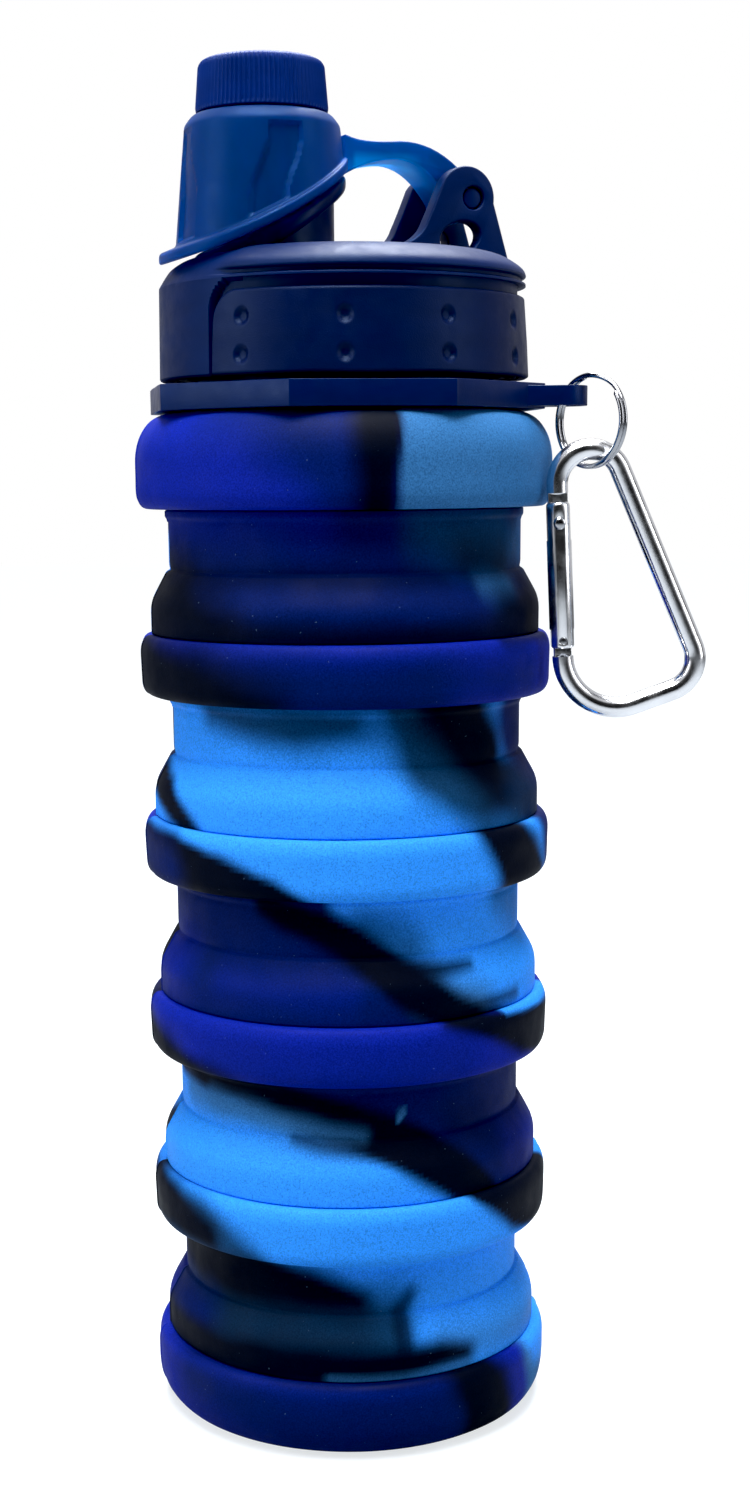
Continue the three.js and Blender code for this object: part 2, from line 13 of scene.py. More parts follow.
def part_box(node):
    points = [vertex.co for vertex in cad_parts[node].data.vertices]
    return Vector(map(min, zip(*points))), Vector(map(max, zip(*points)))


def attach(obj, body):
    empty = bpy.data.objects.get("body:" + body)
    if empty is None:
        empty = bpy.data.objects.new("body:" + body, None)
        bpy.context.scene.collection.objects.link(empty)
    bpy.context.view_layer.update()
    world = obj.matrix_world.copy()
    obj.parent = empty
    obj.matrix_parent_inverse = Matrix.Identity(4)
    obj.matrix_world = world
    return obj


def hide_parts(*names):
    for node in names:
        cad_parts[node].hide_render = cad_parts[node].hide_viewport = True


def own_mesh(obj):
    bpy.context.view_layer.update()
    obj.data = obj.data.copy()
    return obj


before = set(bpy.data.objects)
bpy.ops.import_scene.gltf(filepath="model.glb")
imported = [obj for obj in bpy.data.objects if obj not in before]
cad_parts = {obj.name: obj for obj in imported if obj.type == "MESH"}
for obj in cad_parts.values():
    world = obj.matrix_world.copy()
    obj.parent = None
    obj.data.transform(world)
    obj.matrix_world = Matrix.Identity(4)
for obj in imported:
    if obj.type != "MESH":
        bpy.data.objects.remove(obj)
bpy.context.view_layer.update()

MM = 0.001
CAMERA_AZIMUTH = -112        # where the camera stands round the bottle
FRONT = -CAMERA_AZIMUTH      # added to an azimuth, it counts from the side that faces the camera


# ---------------------------------------------------------------- Places taken from the frame

def low(node):
    return [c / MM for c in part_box(node)[0]]


def high(node):
    return [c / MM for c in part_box(node)[1]]


def middle(node):
    return [(a + b) / 2 for a, b in zip(low(node), high(node))]


FOLDS = 5
RINGS = [f"silicone_ring_{i}" for i in range(1, FOLDS)]
RING_PIECES = ["silicone_base", *RINGS, "silicone_collar"]
WALL_PIECES = [f"fold_wall_{i}" for i in range(1, FOLDS + 1)]
RING_RADIUS = (high("silicone_base")[0] - low("silicone_base")[0]) / 2
WALL_RADIUS = (high("fold_wall_1")[0] - low("fold_wall_1")[0]) / 2
NARROW_RADIUS = WALL_RADIUS - 3.3          # upper part of a wall
NEAR_HALF = (-80, 100)                     # the mould half that faces the camera, counted from FRONT
SEAM_AZIMUTHS = [edge - FRONT for edge in NEAR_HALF]
LID_Z = low("lid_shell")[2]                # heights on the lid and the cover count from here
SPOUT_X = middle("cap_knob")[0]
HINGE_X = middle("hinge_pin")[0]
HINGE_Z = middle("hinge_pin")[2] - LID_Z
FLANGE_BOTTOM = 178.9
FLANGE_TOP = 183.1
LUG_AZIMUTH = -36
SPOUT_FOOT = 11.8                          # radii round the spout's axis
SPOUT_COLLAR = 13.8
BRIM_RADIUS = 15.9
BRIM_OFFSET = -1.8                         # the brim's centre, towards the hinge
BRIM_THICK = 1.9


# ---------------------------------------------------------------- Mesh building

def polar(radius, azimuth, z):
    angle = math.radians(azimuth)
    return (radius * math.cos(angle), radius * math.sin(angle), z)


def wrapped(azimuth):
    """The azimuth between -180 and 180."""
    return (azimuth + 180) % 360 - 180


def smoothstep(low_edge, high_edge, value):
    share = min(1, max(0, (value - low_edge) / (high_edge - low_edge)))
    return share * share * (3 - 2 * share)


def lerp(a, b, share):
    return a + (b - a) * share


def rounded(corners, closed, steps=4):
    """Corners given as (x, y, radius), as points with every corner rounded to its radius."""
    points = []
    for i, (x, y, radius) in enumerate(corners):
        here = Vector((x, y))
        if radius == 0 or (not closed and i in (0, len(corners) - 1)):
            points.append(here)
            continue
        back = Vector(corners[i - 1][:2]) - here
        ahead = Vector(corners[(i + 1) % len(corners)][:2]) - here
        start = here + back.normalized() * min(radius, 0.49 * back.length)
        end = here + ahead.normalized() * min(radius, 0.49 * ahead.length)
        for k in range(steps + 1):
            t = k / steps
            points.append(start.lerp(here, t).lerp(here.lerp(end, t), t))
    return points


def refined(points, step, closed):
    """The same outline with no side longer than step."""
    result = []
    for i, point in enumerate(points):
        result.append(point)
        if i == len(points) - 1 and not closed:
            break
        following = points[(i + 1) % len(points)]
        cuts = max(1, math.ceil((following - point).length / step))
        result += [point.lerp(following, k / cuts) for k in range(1, cuts)]
    return result


def azimuths(step, dense=(), reach=1.6, dense_step=0.2, start=-180, end=180):
    """Azimuths at a step, with more of them near the dense ones."""
    values = [start + step * i for i in range(int(round((end - start) / step)) + 1)]
    for centre in dense:
        values = [v for v in values if abs(wrapped(v - centre)) > reach]
        count = int(reach / dense_step)
        values += [wrapped(centre + dense_step * i) for i in range(-count, count + 1)]
    values = sorted(v for v in values if start <= v <= end)
    return [v for i, v in enumerate(values) if i == 0 or v - values[i - 1] > 1e-4]


def new_piece(name, points, faces):
    """A mesh object from points in millimetres, with coinciding points merged and every face outwards."""
    mesh = bpy.data.meshes.new(name)
    mesh.from_pydata([tuple(c * MM for c in p) for p in points], [], faces)
    work = bmesh.new()
    work.from_mesh(mesh)
    bmesh.ops.remove_doubles(work, verts=work.verts, dist=2e-6)
    bmesh.ops.dissolve_degenerate(work, dist=1e-7, edges=work.edges)
    bmesh.ops.recalc_face_normals(work, faces=work.faces)
    work.to_mesh(mesh)
    work.free()
    mesh.update()
    piece = bpy.data.objects.new(name, mesh)
    bpy.context.scene.collection.objects.link(piece)
    return piece


def skin(rings, count):
    """Faces of a capped tube whose points come as rings of count points."""
    faces = [tuple(reversed(range(count))), tuple((rings - 1) * count + k for k in range(count))]
    for i in range(rings - 1):
        for k in range(count):
            m = (k + 1) % count
            faces.append((i * count + k, i * count + m, (i + 1) * count + m, (i + 1) * count + k))
    return faces


def revolve(name, profile_at, turns, centre=(0, 0, 0)):
    """A form turned round Z. profile_at gives the closed outline at an azimuth, as (radius, z) points.

    An outline that starts and ends on the axis is closed along the axis.
    """
    whole = turns[-1] - turns[0] > 359.9
    columns = turns[:-1] if whole else turns
    outlines = [profile_at(azimuth) for azimuth in columns]
    count = len(outlines[0])
    on_axis = outlines[0][0][0] == 0
    points = []
    for azimuth, outline in zip(columns, outlines):
        for radius, z in outline:
            x, y, height = polar(radius, azimuth, z)
            points.append((x + centre[0], y + centre[1], height + centre[2]))
    faces = []
    for i in range(len(columns) if whole else len(columns) - 1):
        a = i * count
        b = (i + 1) % len(columns) * count
        for k in range(count - 1 if on_axis else count):
            m = (k + 1) % count
            faces.append((a + k, b + k, b + m, a + m))
    if not whole:
        last = (len(columns) - 1) * count
        faces.append(tuple(range(count)))
        faces.append(tuple(last + k for k in reversed(range(count))))
    return new_piece(name, points, faces)


def turned(name, corners, step, centre=(0, 0, 0)):
    """A form of revolution from (radius, z, rounding) corners."""
    outline = rounded(corners, corners[0][0] != 0)
    return revolve(name, lambda azimuth: outline, azimuths(step), centre)


def extruded(name, outline, bottom, top, holes=()):
    """A flat outline in XY between two heights, with holes."""
    points = [(x, y, z) for z in (bottom, top) for x, y in outline]
    solid = new_piece(name, points, skin(2, len(outline)))
    for hole in holes:
        combine(solid, "DIFFERENCE", extruded(name + "_hole", hole, bottom - 5, top + 5))
    return solid


def ellipse(x, y, half_width, half_height, tilt=0, count=40):
    turn = Matrix.Rotation(math.radians(tilt), 2)
    points = []
    for i in range(count):
        angle = 2 * math.pi * i / count
        offset = turn @ Vector((half_width * math.cos(angle), half_height * math.sin(angle)))
        points.append((x + offset.x, y + offset.y))
    return points


def swept(name, path, section):
    """A section carried along a path of points. section gives (side, up) offsets at a share of the path."""
    points = []
    last = len(path) - 1
    for i, here in enumerate(path):
        along = (path[min(i + 1, last)] - path[max(i - 1, 0)]).normalized()
        if i == 0:
            side = along.orthogonal().normalized()
        else:
            side = (side - along * side.dot(along)).normalized()
        up = along.cross(side)
        points += [here + side * across + up * rise for across, rise in section(i / last)]
    return new_piece(name, points, skin(len(path), len(section(0))))


def round_section(radius, sides, taper=0):
    """A round section, drawn in towards both ends of the path by taper, a share of its length."""
    def section(share):
        edge = min(share, 1 - share)
        shrink = 1 if taper == 0 or edge > taper else math.sqrt(max(0.02, 1 - (1 - edge / taper) ** 2))
        reach = radius * shrink
        return [(reach * math.cos(2 * math.pi * k / sides), reach * math.sin(2 * math.pi * k / sides))
                for k in range(sides)]
    return section


def helix(radius, pitch, turns, bottom, x=0, steps=48):
    """Points along a rising helix round an axis at x."""
    count = int(turns * steps)
    shares = [i / count for i in range(count + 1)]
    points = [polar(radius, 360 * turns * share, bottom + pitch * turns * share) for share in shares]
    return [Vector(point) + Vector((x, 0, 0)) for point in points]


def thread(name, root, crest, pitch, turns, bottom, width, centre_x=0):
    """A screw thread's ridge that fades at both ends."""
    points = []
    path = helix(1, pitch, turns, bottom)
    for i, here in enumerate(path):
        share = i / (len(path) - 1)
        fade = smoothstep(0, 0.06, share) * smoothstep(0, 0.06, 1 - share)
        top = lerp(root, crest, fade)
        for radius, drop in ((root, -0.5), (top, -0.2), (top, 0.2), (root, 0.5)):
            points.append((here.x * radius + centre_x, here.y * radius, here.z + drop * width))
    return new_piece(name, points, skin(len(path), 4))


def applied(piece):
    """The piece with its modifiers made final."""
    graph = bpy.context.evaluated_depsgraph_get()
    old = piece.data
    piece.data = bpy.data.meshes.new_from_object(piece.evaluated_get(graph))
    piece.modifiers.clear()
    bpy.data.meshes.remove(old)
    return piece


def combine(piece, operation, *tools):
    """Join, cut or keep the common part, by exact booleans. The tools are used up."""
    for tool in tools:
        step = piece.modifiers.new("step", "BOOLEAN")
        step.operation = operation
        step.solver = "EXACT"
        step.object = tool
        applied(piece)
        bpy.data.meshes.remove(tool.data)
    return piece


def bevelled(piece, width, angle=40, segments=3):
    """Round the piece's sharp edges."""
    step = piece.modifiers.new("bevel", "BEVEL")
    step.width = width * MM
    step.segments = segments
    step.angle_limit = math.radians(angle)
    return applied(piece)


def moved(piece, x, y, z):
    piece.data.transform(Matrix.Translation((x * MM, y * MM, z * MM)))
    return piece


def rotated(piece, angle, axis="Z"):
    piece.data.transform(Matrix.Rotation(math.radians(angle), 4, axis))
    return piece


def across(name, outline, near, far, holes=()):
    """A side outline in XZ, from y = near to y = far."""
    return rotated(extruded(name, outline, -far, -near, holes), 90, "X")


def finished(piece, body, look, sharp=35):
    """Shade the piece, give it its material, and let it ride in place of the CAD node it is named after."""
    piece.data.polygons.foreach_set("use_smooth", [True] * len(piece.data.polygons))
    piece.data.set_sharp_from_angle(angle=math.radians(sharp))
    piece.data.materials.clear()
    piece.data.materials.append(look.material)
    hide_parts(piece.name.split(".")[0])       # Blender numbers the name, since the node has it too
    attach(piece, body)


# ---------------------------------------------------------------- Materials

def plug(tree, socket, value):
    """Set a socket to a value, or link it to another node's output."""
    if isinstance(value, bpy.types.NodeSocket):
        tree.links.new(value, socket)
    else:
        socket.default_value = value


def add_node(tree, kind, inputs=(), **settings):
    """The outputs of a new node."""
    node = tree.nodes.new("ShaderNode" + kind)
    for setting, value in settings.items():
        setattr(node, setting, value)
    for socket, value in dict(inputs).items():
        plug(tree, node.inputs[socket], value)
    return node.outputs


class Look:
    """A node material with the helpers that every surface here needs."""

    def __init__(self, name, roughness, colour=(0.5, 0.5, 0.5), metallic=0):
        self.material = bpy.data.materials.new(name)
        self.material.use_nodes = True
        self.tree = self.material.node_tree
        self.set("Roughness", roughness)
        self.set("Metallic", metallic)
        self.set("Base Color", (*colour, 1))
        coordinates = self.node("TexCoord")
        self.place, self.facing = coordinates["Object"], coordinates["Normal"]

    def node(self, kind, inputs=(), **settings):
        return add_node(self.tree, kind, inputs, **settings)

    def set(self, socket, value):
        plug(self.tree, self.tree.nodes["Principled BSDF"].inputs[socket], value)

    def grain(self, size, detail=3, stretch=(1, 1, 1)):
        """Noise whose features are size millimetres across, as an output from 0 to 1."""
        spread = self.node("Mapping", {"Scale": stretch, "Vector": self.place})["Vector"]
        return self.node("TexNoise", {"Scale": 1 / (size * MM), "Detail": detail, "Vector": spread})["Fac"]

    def remap(self, value, to_low, to_high, from_low=0.3, from_high=0.7):
        return self.node("MapRange", {"Value": value, "From Min": from_low, "From Max": from_high,
                                      "To Min": to_low, "To Max": to_high})["Result"]

    def bump(self, *layers):
        """Relief from (height output, depth in millimetres) layers."""
        below = {}
        for height, depth in layers:
            normal = self.node("Bump", {"Distance": depth * MM, "Height": height, **below})["Normal"]
            below = {"Normal": normal}
        self.set("Normal", normal)

    def scaled(self, colour, factor):
        return self.node("VectorMath", {0: colour, "Scale": factor}, operation="SCALE")["Vector"]

    def combined(self, operation, first, *others):
        """Values put together by a math operation."""
        for other in others:
            first = self.node("Math", {0: first, 1: other}, operation=operation)[0]
        return first

    def mixed(self, share, colour, other):
        """One colour, or the other where share is 1."""
        return self.node("Mix", {"Factor": share, 6: colour, 7: (*other, 1)}, data_type="RGBA")[2]


def silicone_look():
    """Matte silicone: the marbling comes from the mesh, with a powdery grain and fine dust over it."""
    look = Look("marbled_silicone", 0.62)
    powder = look.grain(0.28, 2)
    marbling = look.node("Attribute", attribute_name="marbling")["Color"]
    dust = look.remap(look.grain(0.45, 0), 0, 0.2, 0.85, 0.89)
    shaded = look.scaled(marbling, look.remap(powder, 0.72, 1.28))
    look.set("Base Color", look.mixed(dust, shaded, (0.2, 0.32, 0.5)))
    look.set("Roughness", look.remap(look.grain(6), 0.54, 0.7))
    look.bump((powder, 0.02), (look.grain(1.6), 0.03))
    look.set("Specular IOR Level", 0.07)
    return look


def moulded_look(name, colour, roughness, texture=0.02):
    """Hard moulded plastic: a fine spark texture, slight flow marks and an uneven gloss."""
    look = Look(name, roughness, colour)
    flow = look.grain(9, 4, (1, 1, 2.5))
    look.set("Base Color", look.scaled(colour, look.remap(flow, 0.88, 1.12)))
    look.set("Roughness", look.remap(look.grain(2.5), roughness - 0.05, roughness + 0.07))
    look.bump((look.grain(0.22, 2), texture), (flow, 0.05))
    look.set("Specular IOR Level", 0.2)
    look.set("Specular Tint", (0.4, 0.62, 1, 1))
    return look


def cover_look():
    """Cloudy see-through plastic, with a painted glow: the thin arm's underside and lower side are painted a
    brighter colour for the light that comes down through the arm.
    """
    # The second colour is a painted glow, standing in for light that comes down through the arm.
    colour, painted_glow_colour = (0.001, 0.06, 0.3), (0.001, 0.4, 1)
    look = Look("cloudy_cover_plastic", 0.45, colour)
    flow = look.grain(7, 3, (1, 1, 0.5))
    place, facing = (look.node("SeparateXYZ", {0: vector}) for vector in (look.place, look.facing))
    arm_start, arm_end, arm_middle = (SPOUT_X + 14.2) * MM, (SPOUT_X + 32) * MM, (LID_Z + 37) * MM
    beyond_sleeve = look.remap(place["X"], 0, 1, arm_start, arm_start + 0.8 * MM)
    before_hinge = look.remap(place["X"], 1, 0, arm_end - 3 * MM, arm_end)
    lower_side = look.remap(place["Z"], 0.45, 0, arm_middle - MM, arm_middle + 0.3 * MM)
    side_end = look.remap(place["X"], 1, 0, arm_end - 8 * MM, arm_end - 5 * MM)
    underside = look.remap(facing["Z"], 1, 0, -0.7, -0.1)
    # Painted glow: lit is where the brighter colour is painted in for light let down through the arm.
    lit = look.combined("MAXIMUM", look.combined("MULTIPLY", lower_side, side_end), underside)
    lit = look.combined("MULTIPLY", lit, beyond_sleeve, before_hinge)
    mixed = look.mixed(lit, (*colour, 1), painted_glow_colour)
    look.set("Base Color", look.scaled(mixed, look.remap(flow, 0.85, 1.18)))
    look.set("Roughness", look.remap(look.grain(3), 0.4, 0.54))
    look.bump((look.grain(0.25, 2), 0.012), (flow, 0.05))
    for socket, value in (("Transmission Weight", 0.72), ("IOR", 1.4), ("Specular IOR Level", 0.2),
                          ("Specular Tint", (0.1, 0.4, 1, 1)), ("Subsurface Weight", 0.1),
                          ("Subsurface Radius", (0.15, 0.5, 1)), ("Subsurface Scale", 0.004)):
        look.set(socket, value)
    return look


def metal_look(name, colour, roughness, brushing=(1, 1, 1)):
    """Polished metal with fine scratches and slightly clouded patches."""
    look = Look(name, roughness, colour, 1)
    scratches = look.grain(0.35, 4, brushing)
    clouds = look.grain(4)
    look.set("Roughness", look.remap(clouds, roughness - 0.05, roughness + 0.12))
    look.set("Base Color", look.scaled(colour, look.remap(clouds, 0.88, 1.05)))
    look.bump((scratches, 0.006), (clouds, 0.03))
    return look


def rubber_look():
    """Pale translucent silicone of the gasket and the stopper."""
    look = Look("seal_rubber", 0.5)
    look.set("Base Color", look.scaled((0.72, 0.76, 0.8), look.remap(look.grain(3), 0.92, 1.05)))
    look.bump((look.grain(0.4, 2), 0.02))
    look.set("Subsurface Weight", 0.3)
    look.set("Subsurface Scale", 0.002)
    return look


SILICONE_LOOK = silicone_look()
LID_LOOK = moulded_look("navy_lid_plastic", (0.001, 0.008, 0.055), 0.48)
BAND_LOOK = moulded_look("navy_band_plastic", (0.001, 0.005, 0.038), 0.44, 0.03)
NECK_LOOK = moulded_look("navy_neck_plastic", (0.001, 0.008, 0.06), 0.36)
KNOB_LOOK = moulded_look("blue_knob_plastic", (0.001, 0.014, 0.12), 0.5)
COVER_LOOK = cover_look()
SEAL_LOOK = rubber_look()
STEEL_LOOK = metal_look("polished_steel", (0.42, 0.43, 0.46), 0.1)
ALUMINIUM_LOOK = metal_look("polished_aluminium", (0.86, 0.87, 0.9), 0.15, (1, 1, 0.25))


# ---------------------------------------------------------------- Marbling of the silicone

ROYAL = (0.004, 0.014, 0.26)
DEEP = (0.0015, 0.009, 0.085)
SKY = (0.030, 0.27, 0.93)
MIST = (0.030, 0.135, 0.34)
TEAL = (0.005, 0.036, 0.10)
INK = (0.0006, 0.002, 0.008)

noise.seed_set(1)        # without a seed, noise_vector starts from the clock and the strokes differ each run

# The near half's marbling by piece, from the base up: a first colour, then strokes painted over it in order.
# A stroke is a colour, a line of (azimuth from the front, height, half width), its soft edge and its cover.
RING_MARBLING = (
    (ROYAL,
     (DEEP, ((-52, 10, 3), (-20, 7, 6), (34, 7, 8)), 10, 1),
     (INK, ((-70, 15.6, 0.8), (34, 15.2, 1)), 1.6, 0.9),
     (INK, ((35, 16, 3.4), (42, 9, 5), (46, -2, 6)), 2.6, 1),
     (MIST, ((70, 12, 5.5), (76, 0, 6)), 3, 1),
     (SKY, ((72, 14, 5), (98, 12, 8)), 3, 1)),
    (SKY,
     (TEAL, ((-100, 38, 9), (-48, 37.5, 6.6), (-32, 33, 5.4), (-22, 29, 4)), 3.4, 0.95),
     (INK, ((-100, 42, 6), (-60, 41.2, 4), (-44, 38.4, 2.4)), 2.8, 1),
     (INK, ((34, 51.5, 3.4), (44, 47.6, 3.8), (57, 43, 4.8), (78, 41, 6)), 1.7, 1),
     (ROYAL, ((62, 50.6, 1.4), (92, 50, 3)), 1.6, 1)),
    (ROYAL,
     (DEEP, ((-40, 70, 1), (30, 70, 1)), 7, 0.4),
     (INK, ((-100, 70, 6), (-62, 68.4, 3.6), (-36, 65, 2)), 3.4, 1),
     (INK, ((28, 78.2, 1.2), (44, 75.6, 2), (60, 73, 3.8), (92, 71, 5.6)), 1.8, 1),
     (SKY, ((52, 78, 0.9), (86, 78.4, 2)), 1, 1)),
    (SKY,
     (INK, ((-100, 98.5, 10.5), (-58, 100.5, 7.8), (-38, 99, 7), (-24, 97, 6.4), (-9, 92.6, 5.4)),
      1.7, 1),
     (DEEP, ((-92, 105, 2.6), (-60, 102, 3)), 5, 1),
     (INK, ((44, 113, 4.4), (54, 105, 6), (64, 96, 8)), 3, 1),
     (DEEP, ((84, 112, 8), (96, 98, 9)), 4, 1)),
    (ROYAL,
     (DEEP, ((-40, 134, 4.4), (20, 133.4, 5)), 6, 1),
     (DEEP, ((26, 135, 2), (60, 135, 2)), 6, 0.8),
     (INK, ((-100, 135, 10), (-46, 133.5, 6), (-22, 130.5, 2.6)), 7, 1),
     (INK, ((50, 141.8, 0.8), (78, 142, 1.6)), 2.4, 0.9)),
    (ROYAL,
     (DEEP, ((-34, 182, 4), (2, 178, 8)), 9, 0.9),
     (DEEP, ((-10, 174, 4), (0, 165, 3)), 8, 0.9),
     (INK, ((10.6, 182, 4.4), (9.6, 171, 3.6), (9, 160, 3)), 4, 1),
     (MIST, ((49.6, 186, 20), (47.2, 172, 19.5), (45.4, 160, 19)), 1.2, 1),
     (MIST, ((82, 186, 18), (82, 160, 18)), 1, 1)),
)
WALL_MARBLING = (
    (SKY,
     (MIST, ((30, 20, 2), (80, 17, 3)), 5, 0.6),
     (TEAL, ((-100, 26, 8), (-20, 24, 6.6), (10, 23, 5)), 7, 1),
     (INK, ((-60, 24, 3), (0, 21.6, 2.6)), 8, 0.6),
     (INK, ((-100, 33, 6), (-40, 31.6, 5), (-14, 30, 3.4), (2, 28, 1.4)), 3.4, 1),
     (DEEP, ((-94, 21, 6), (-56, 20, 4)), 5, 1),
     (INK, ((-80, 16.5, 3), (-20, 16.6, 3.6), (12, 17, 3), (28, 17.6, 2.4), (37, 17, 1.4)), 3, 1),
     (INK, ((20, 28.8, 0.9), (15.8, 26, 1.5), (16.4, 20.4, 1.4)), 2, 0.8),
     (MIST, ((-6, 14.9, 0.4), (38, 14.6, 0.5)), 1.4, 0.6)),
    (DEEP,
     (ROYAL, ((60, 52, 2), (92, 49, 4)), 7, 0.7),
     (SKY, ((-100, 54, 9.5), (-40, 53, 8.8), (0, 50, 6.4), (22, 46, 5)), 1.6, 1),
     (MIST, ((-66, 62, 1.5), (-30, 60.5, 1.6), (0, 57.6, 1), (12, 57, 0.6)), 4, 0.9),
     (INK, ((-74, 66.4, 2), (-40, 65, 2.4), (-20, 63.2, 3), (0, 60.6, 3.4), (12, 57.8, 3.4),
            (22, 54.4, 3.8), (33, 50.4, 4), (44, 46, 3)), 1.6, 1),
     (MIST, ((-50, 61.6, 1), (-20, 59.8, 1.1), (4, 57.8, 0)), 2.6, 0.75),
     (INK, ((-18, 57.2, 0), (0, 56.2, 0.5), (12, 55.2, 1.2)), 2, 0.9),
     (INK, ((36, 58, 1), (62, 52, 2)), 9, 0.6),
     (MIST, ((15.6, 60.2, 0.25), (16.6, 61.6, 0.5)), 0.5, 0.9)),
    (DEEP,
     (ROYAL, ((-100, 90, 4), (-66, 84, 3)), 9, 0.7),
     (ROYAL, ((-40, 84, 1.5), (0, 83, 1)), 5, 0.35),
     (SKY, ((6, 99, 6), (30, 92.6, 8.4), (60, 88, 10), (92, 84, 12)), 3, 1),
     (TEAL, ((6, 94, 2), (18, 90, 3)), 6, 0.75),
     (MIST, ((26, 83, 3), (42, 80.5, 2)), 5, 0.75),
     (INK, ((-26, 98, 1.8), (-8, 94, 2.8), (2, 90.8, 3.2), (11, 87, 3.2), (20, 83, 3.6), (30, 79, 3.4),
            (44, 75.6, 2.2), (64, 74, 1.4)), 2, 1),
     (INK, ((14, 87.2, 1.4), (26, 86.6, 1), (40, 86.6, 0.2)), 2, 0.95),
     (INK, ((40, 79.2, 0.4), (60, 79.8, 0.8)), 1.8, 0.8),
     (TEAL, ((58, 97, 2), (74, 94, 3)), 5, 0.6)),
    (SKY,
     (TEAL, ((-46, 129.5, 1.4), (-16, 128, 3), (2, 128.8, 2)), 4.4, 0.95),
     (TEAL, ((20, 131, 5.4), (28, 122, 6), (42, 116, 5)), 5.5, 1),
     (INK, ((34, 131, 6), (48, 123, 6.4)), 5.5, 1),
     (INK, ((54, 116, 4.6), (70, 114, 7), (94, 114, 9)), 4.5, 0.95),
     (DEEP, ((72, 128, 8), (96, 122, 10)), 5, 1),
     (TEAL, ((44, 110.5, 1), (60, 110, 1)), 3, 0.7),
     (INK, ((-94, 120, 2), (-68, 114.6, 3), (-50, 108.4, 1.8)), 2, 1)),
    (DEEP,
     (ROYAL, ((-90, 161, 2.4), (-10, 161.5, 2.4)), 6, 0.45),
     (INK, ((-60, 151.8, 0.5), (30, 151.8, 0.5)), 3.4, 0.6),
     (INK, ((-100, 148, 8), (-58, 147.5, 5), (-36, 143.6, 2)), 8, 1),
     (INK, ((-80, 142.4, 1.8), (80, 142.4, 1.8)), 3.4, 0.9),
     (TEAL, ((26, 160, 2), (56, 157, 6)), 7, 0.9),
     (INK, ((40, 155, 2), (58, 153.6, 2)), 5, 0.7),
     (MIST, ((70, 157, 2), (90, 158, 5)), 5, 0.7),
     (MIST, ((44, 150.4, 0.4), (58, 149.8, 0.8)), 3.6, 0.5),
     (INK, ((54, 146, 2), (92, 147, 5)), 5, 0.95)),
)
ARC = math.radians(1) * RING_RADIUS       # length of one degree round the rings


def distance_to_line(x, z, line):
    """How far the point is outside the line's own width. It is negative inside."""
    best = math.inf
    for (ax, az, aw), (bx, bz, bw) in zip(line, line[1:]):
        ax, bx = ax * ARC, bx * ARC
        run = (bx - ax) ** 2 + (bz - az) ** 2
        share = min(1, max(0, ((x - ax) * (bx - ax) + (z - az) * (bz - az)) / run))
        best = min(best, math.hypot(x - lerp(ax, bx, share), z - lerp(az, bz, share)) - lerp(aw, bw, share))
    return best


def marbled(marbling, azimuth, z):
    """Colour of the silicone at a place."""
    spot = Vector((wrapped(azimuth) * ARC, z, 7))
    drift = noise.noise_vector(spot / 18) * 1.3 + noise.noise_vector(spot / 5) * 0.35
    colour, *strokes = marbling
    for shade_of, line, soft, cover in strokes:
        edge = soft * (1 + 0.5 * noise.noise(spot / 9))
        share = 1 - smoothstep(-edge / 2, edge, distance_to_line(spot.x + drift.x, z + drift.y * 0.6, line))
        colour = tuple(lerp(a, b, share * cover) for a, b in zip(colour, shade_of))
    return colour


def marble(piece, name):
    """Store the marbling on the mesh, from where each point is at rest.

    The two mould halves meet at a sharp line, and the far one has the marbling of the piece two folds away.
    """
    pieces, marblings = (RING_PIECES, RING_MARBLING) if name in RING_PIECES else (WALL_PIECES, WALL_MARBLING)
    index = pieces.index(name)
    far = (index + 2) % len(pieces)
    lift = low(pieces[far])[2] - low(name)[2]
    values = []
    for vertex in piece.data.vertices:
        x, y, z = vertex.co / MM
        around = wrapped(math.degrees(math.atan2(y, x)) + FRONT)
        if NEAR_HALF[0] <= around <= NEAR_HALF[1]:
            colour = marbled(marblings[index], around, z)
        else:
            colour = marbled(marblings[far], 2 * NEAR_HALF[1] - around, z + lift)
        values += [*colour, 1]
    layer = piece.data.color_attributes.new("marbling", "FLOAT_COLOR", "POINT")
    layer.data.foreach_set("color", values)


# ---------------------------------------------------------------- Silicone body

RIDGE_HEIGHT = 0.22
RIDGE_WIDTH = 0.3
SWELLS = ((0.14, 17), (0.05, 5))     # height and size of the slight unevenness of soft rubber


def moulded(piece):
    """Give the outside its two parting ridges and its unevenness."""
    normals = [v.normal.copy() for v in piece.data.vertices]
    for vertex, normal in zip(piece.data.vertices, normals):
        outwards = Vector((vertex.co.x, vertex.co.y, 0)).normalized()
        facing = normal.dot(outwards)
        radius = vertex.co.xy.length / MM
        if facing <= 0.05 or radius < NARROW_RADIUS:
            continue
        around = math.degrees(math.atan2(vertex.co.y, vertex.co.x))
        gap = min(abs(wrapped(around - seam)) for seam in SEAM_AZIMUTHS) * math.radians(1) * radius
        ridge = RIDGE_HEIGHT * math.exp(-(gap / RIDGE_WIDTH) ** 2)
        swell = sum(height * noise.noise(vertex.co / (size * MM)) for height, size in SWELLS)
        vertex.co += outwards * (ridge + swell) * facing * MM


def silicone(name, body, bottom, corners, squashed_by=None):
    """A segment of the body, with its marbling. A wall, given squashed_by, gets a mesh of its own."""
    closed = corners[0][0] != 0
    outline = refined(rounded(corners, closed), 1, closed)
    piece = revolve(name, lambda azimuth: outline, azimuths(1.5, SEAM_AZIMUTHS), (0, 0, bottom))
    marble(piece, name)
    moulded(piece)
    finished(piece, body, SILICONE_LOOK, 50)
    if squashed_by:
        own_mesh(piece)


BODIES = ["base", *[f"ring_{i}" for i in range(1, FOLDS)], "collar"]

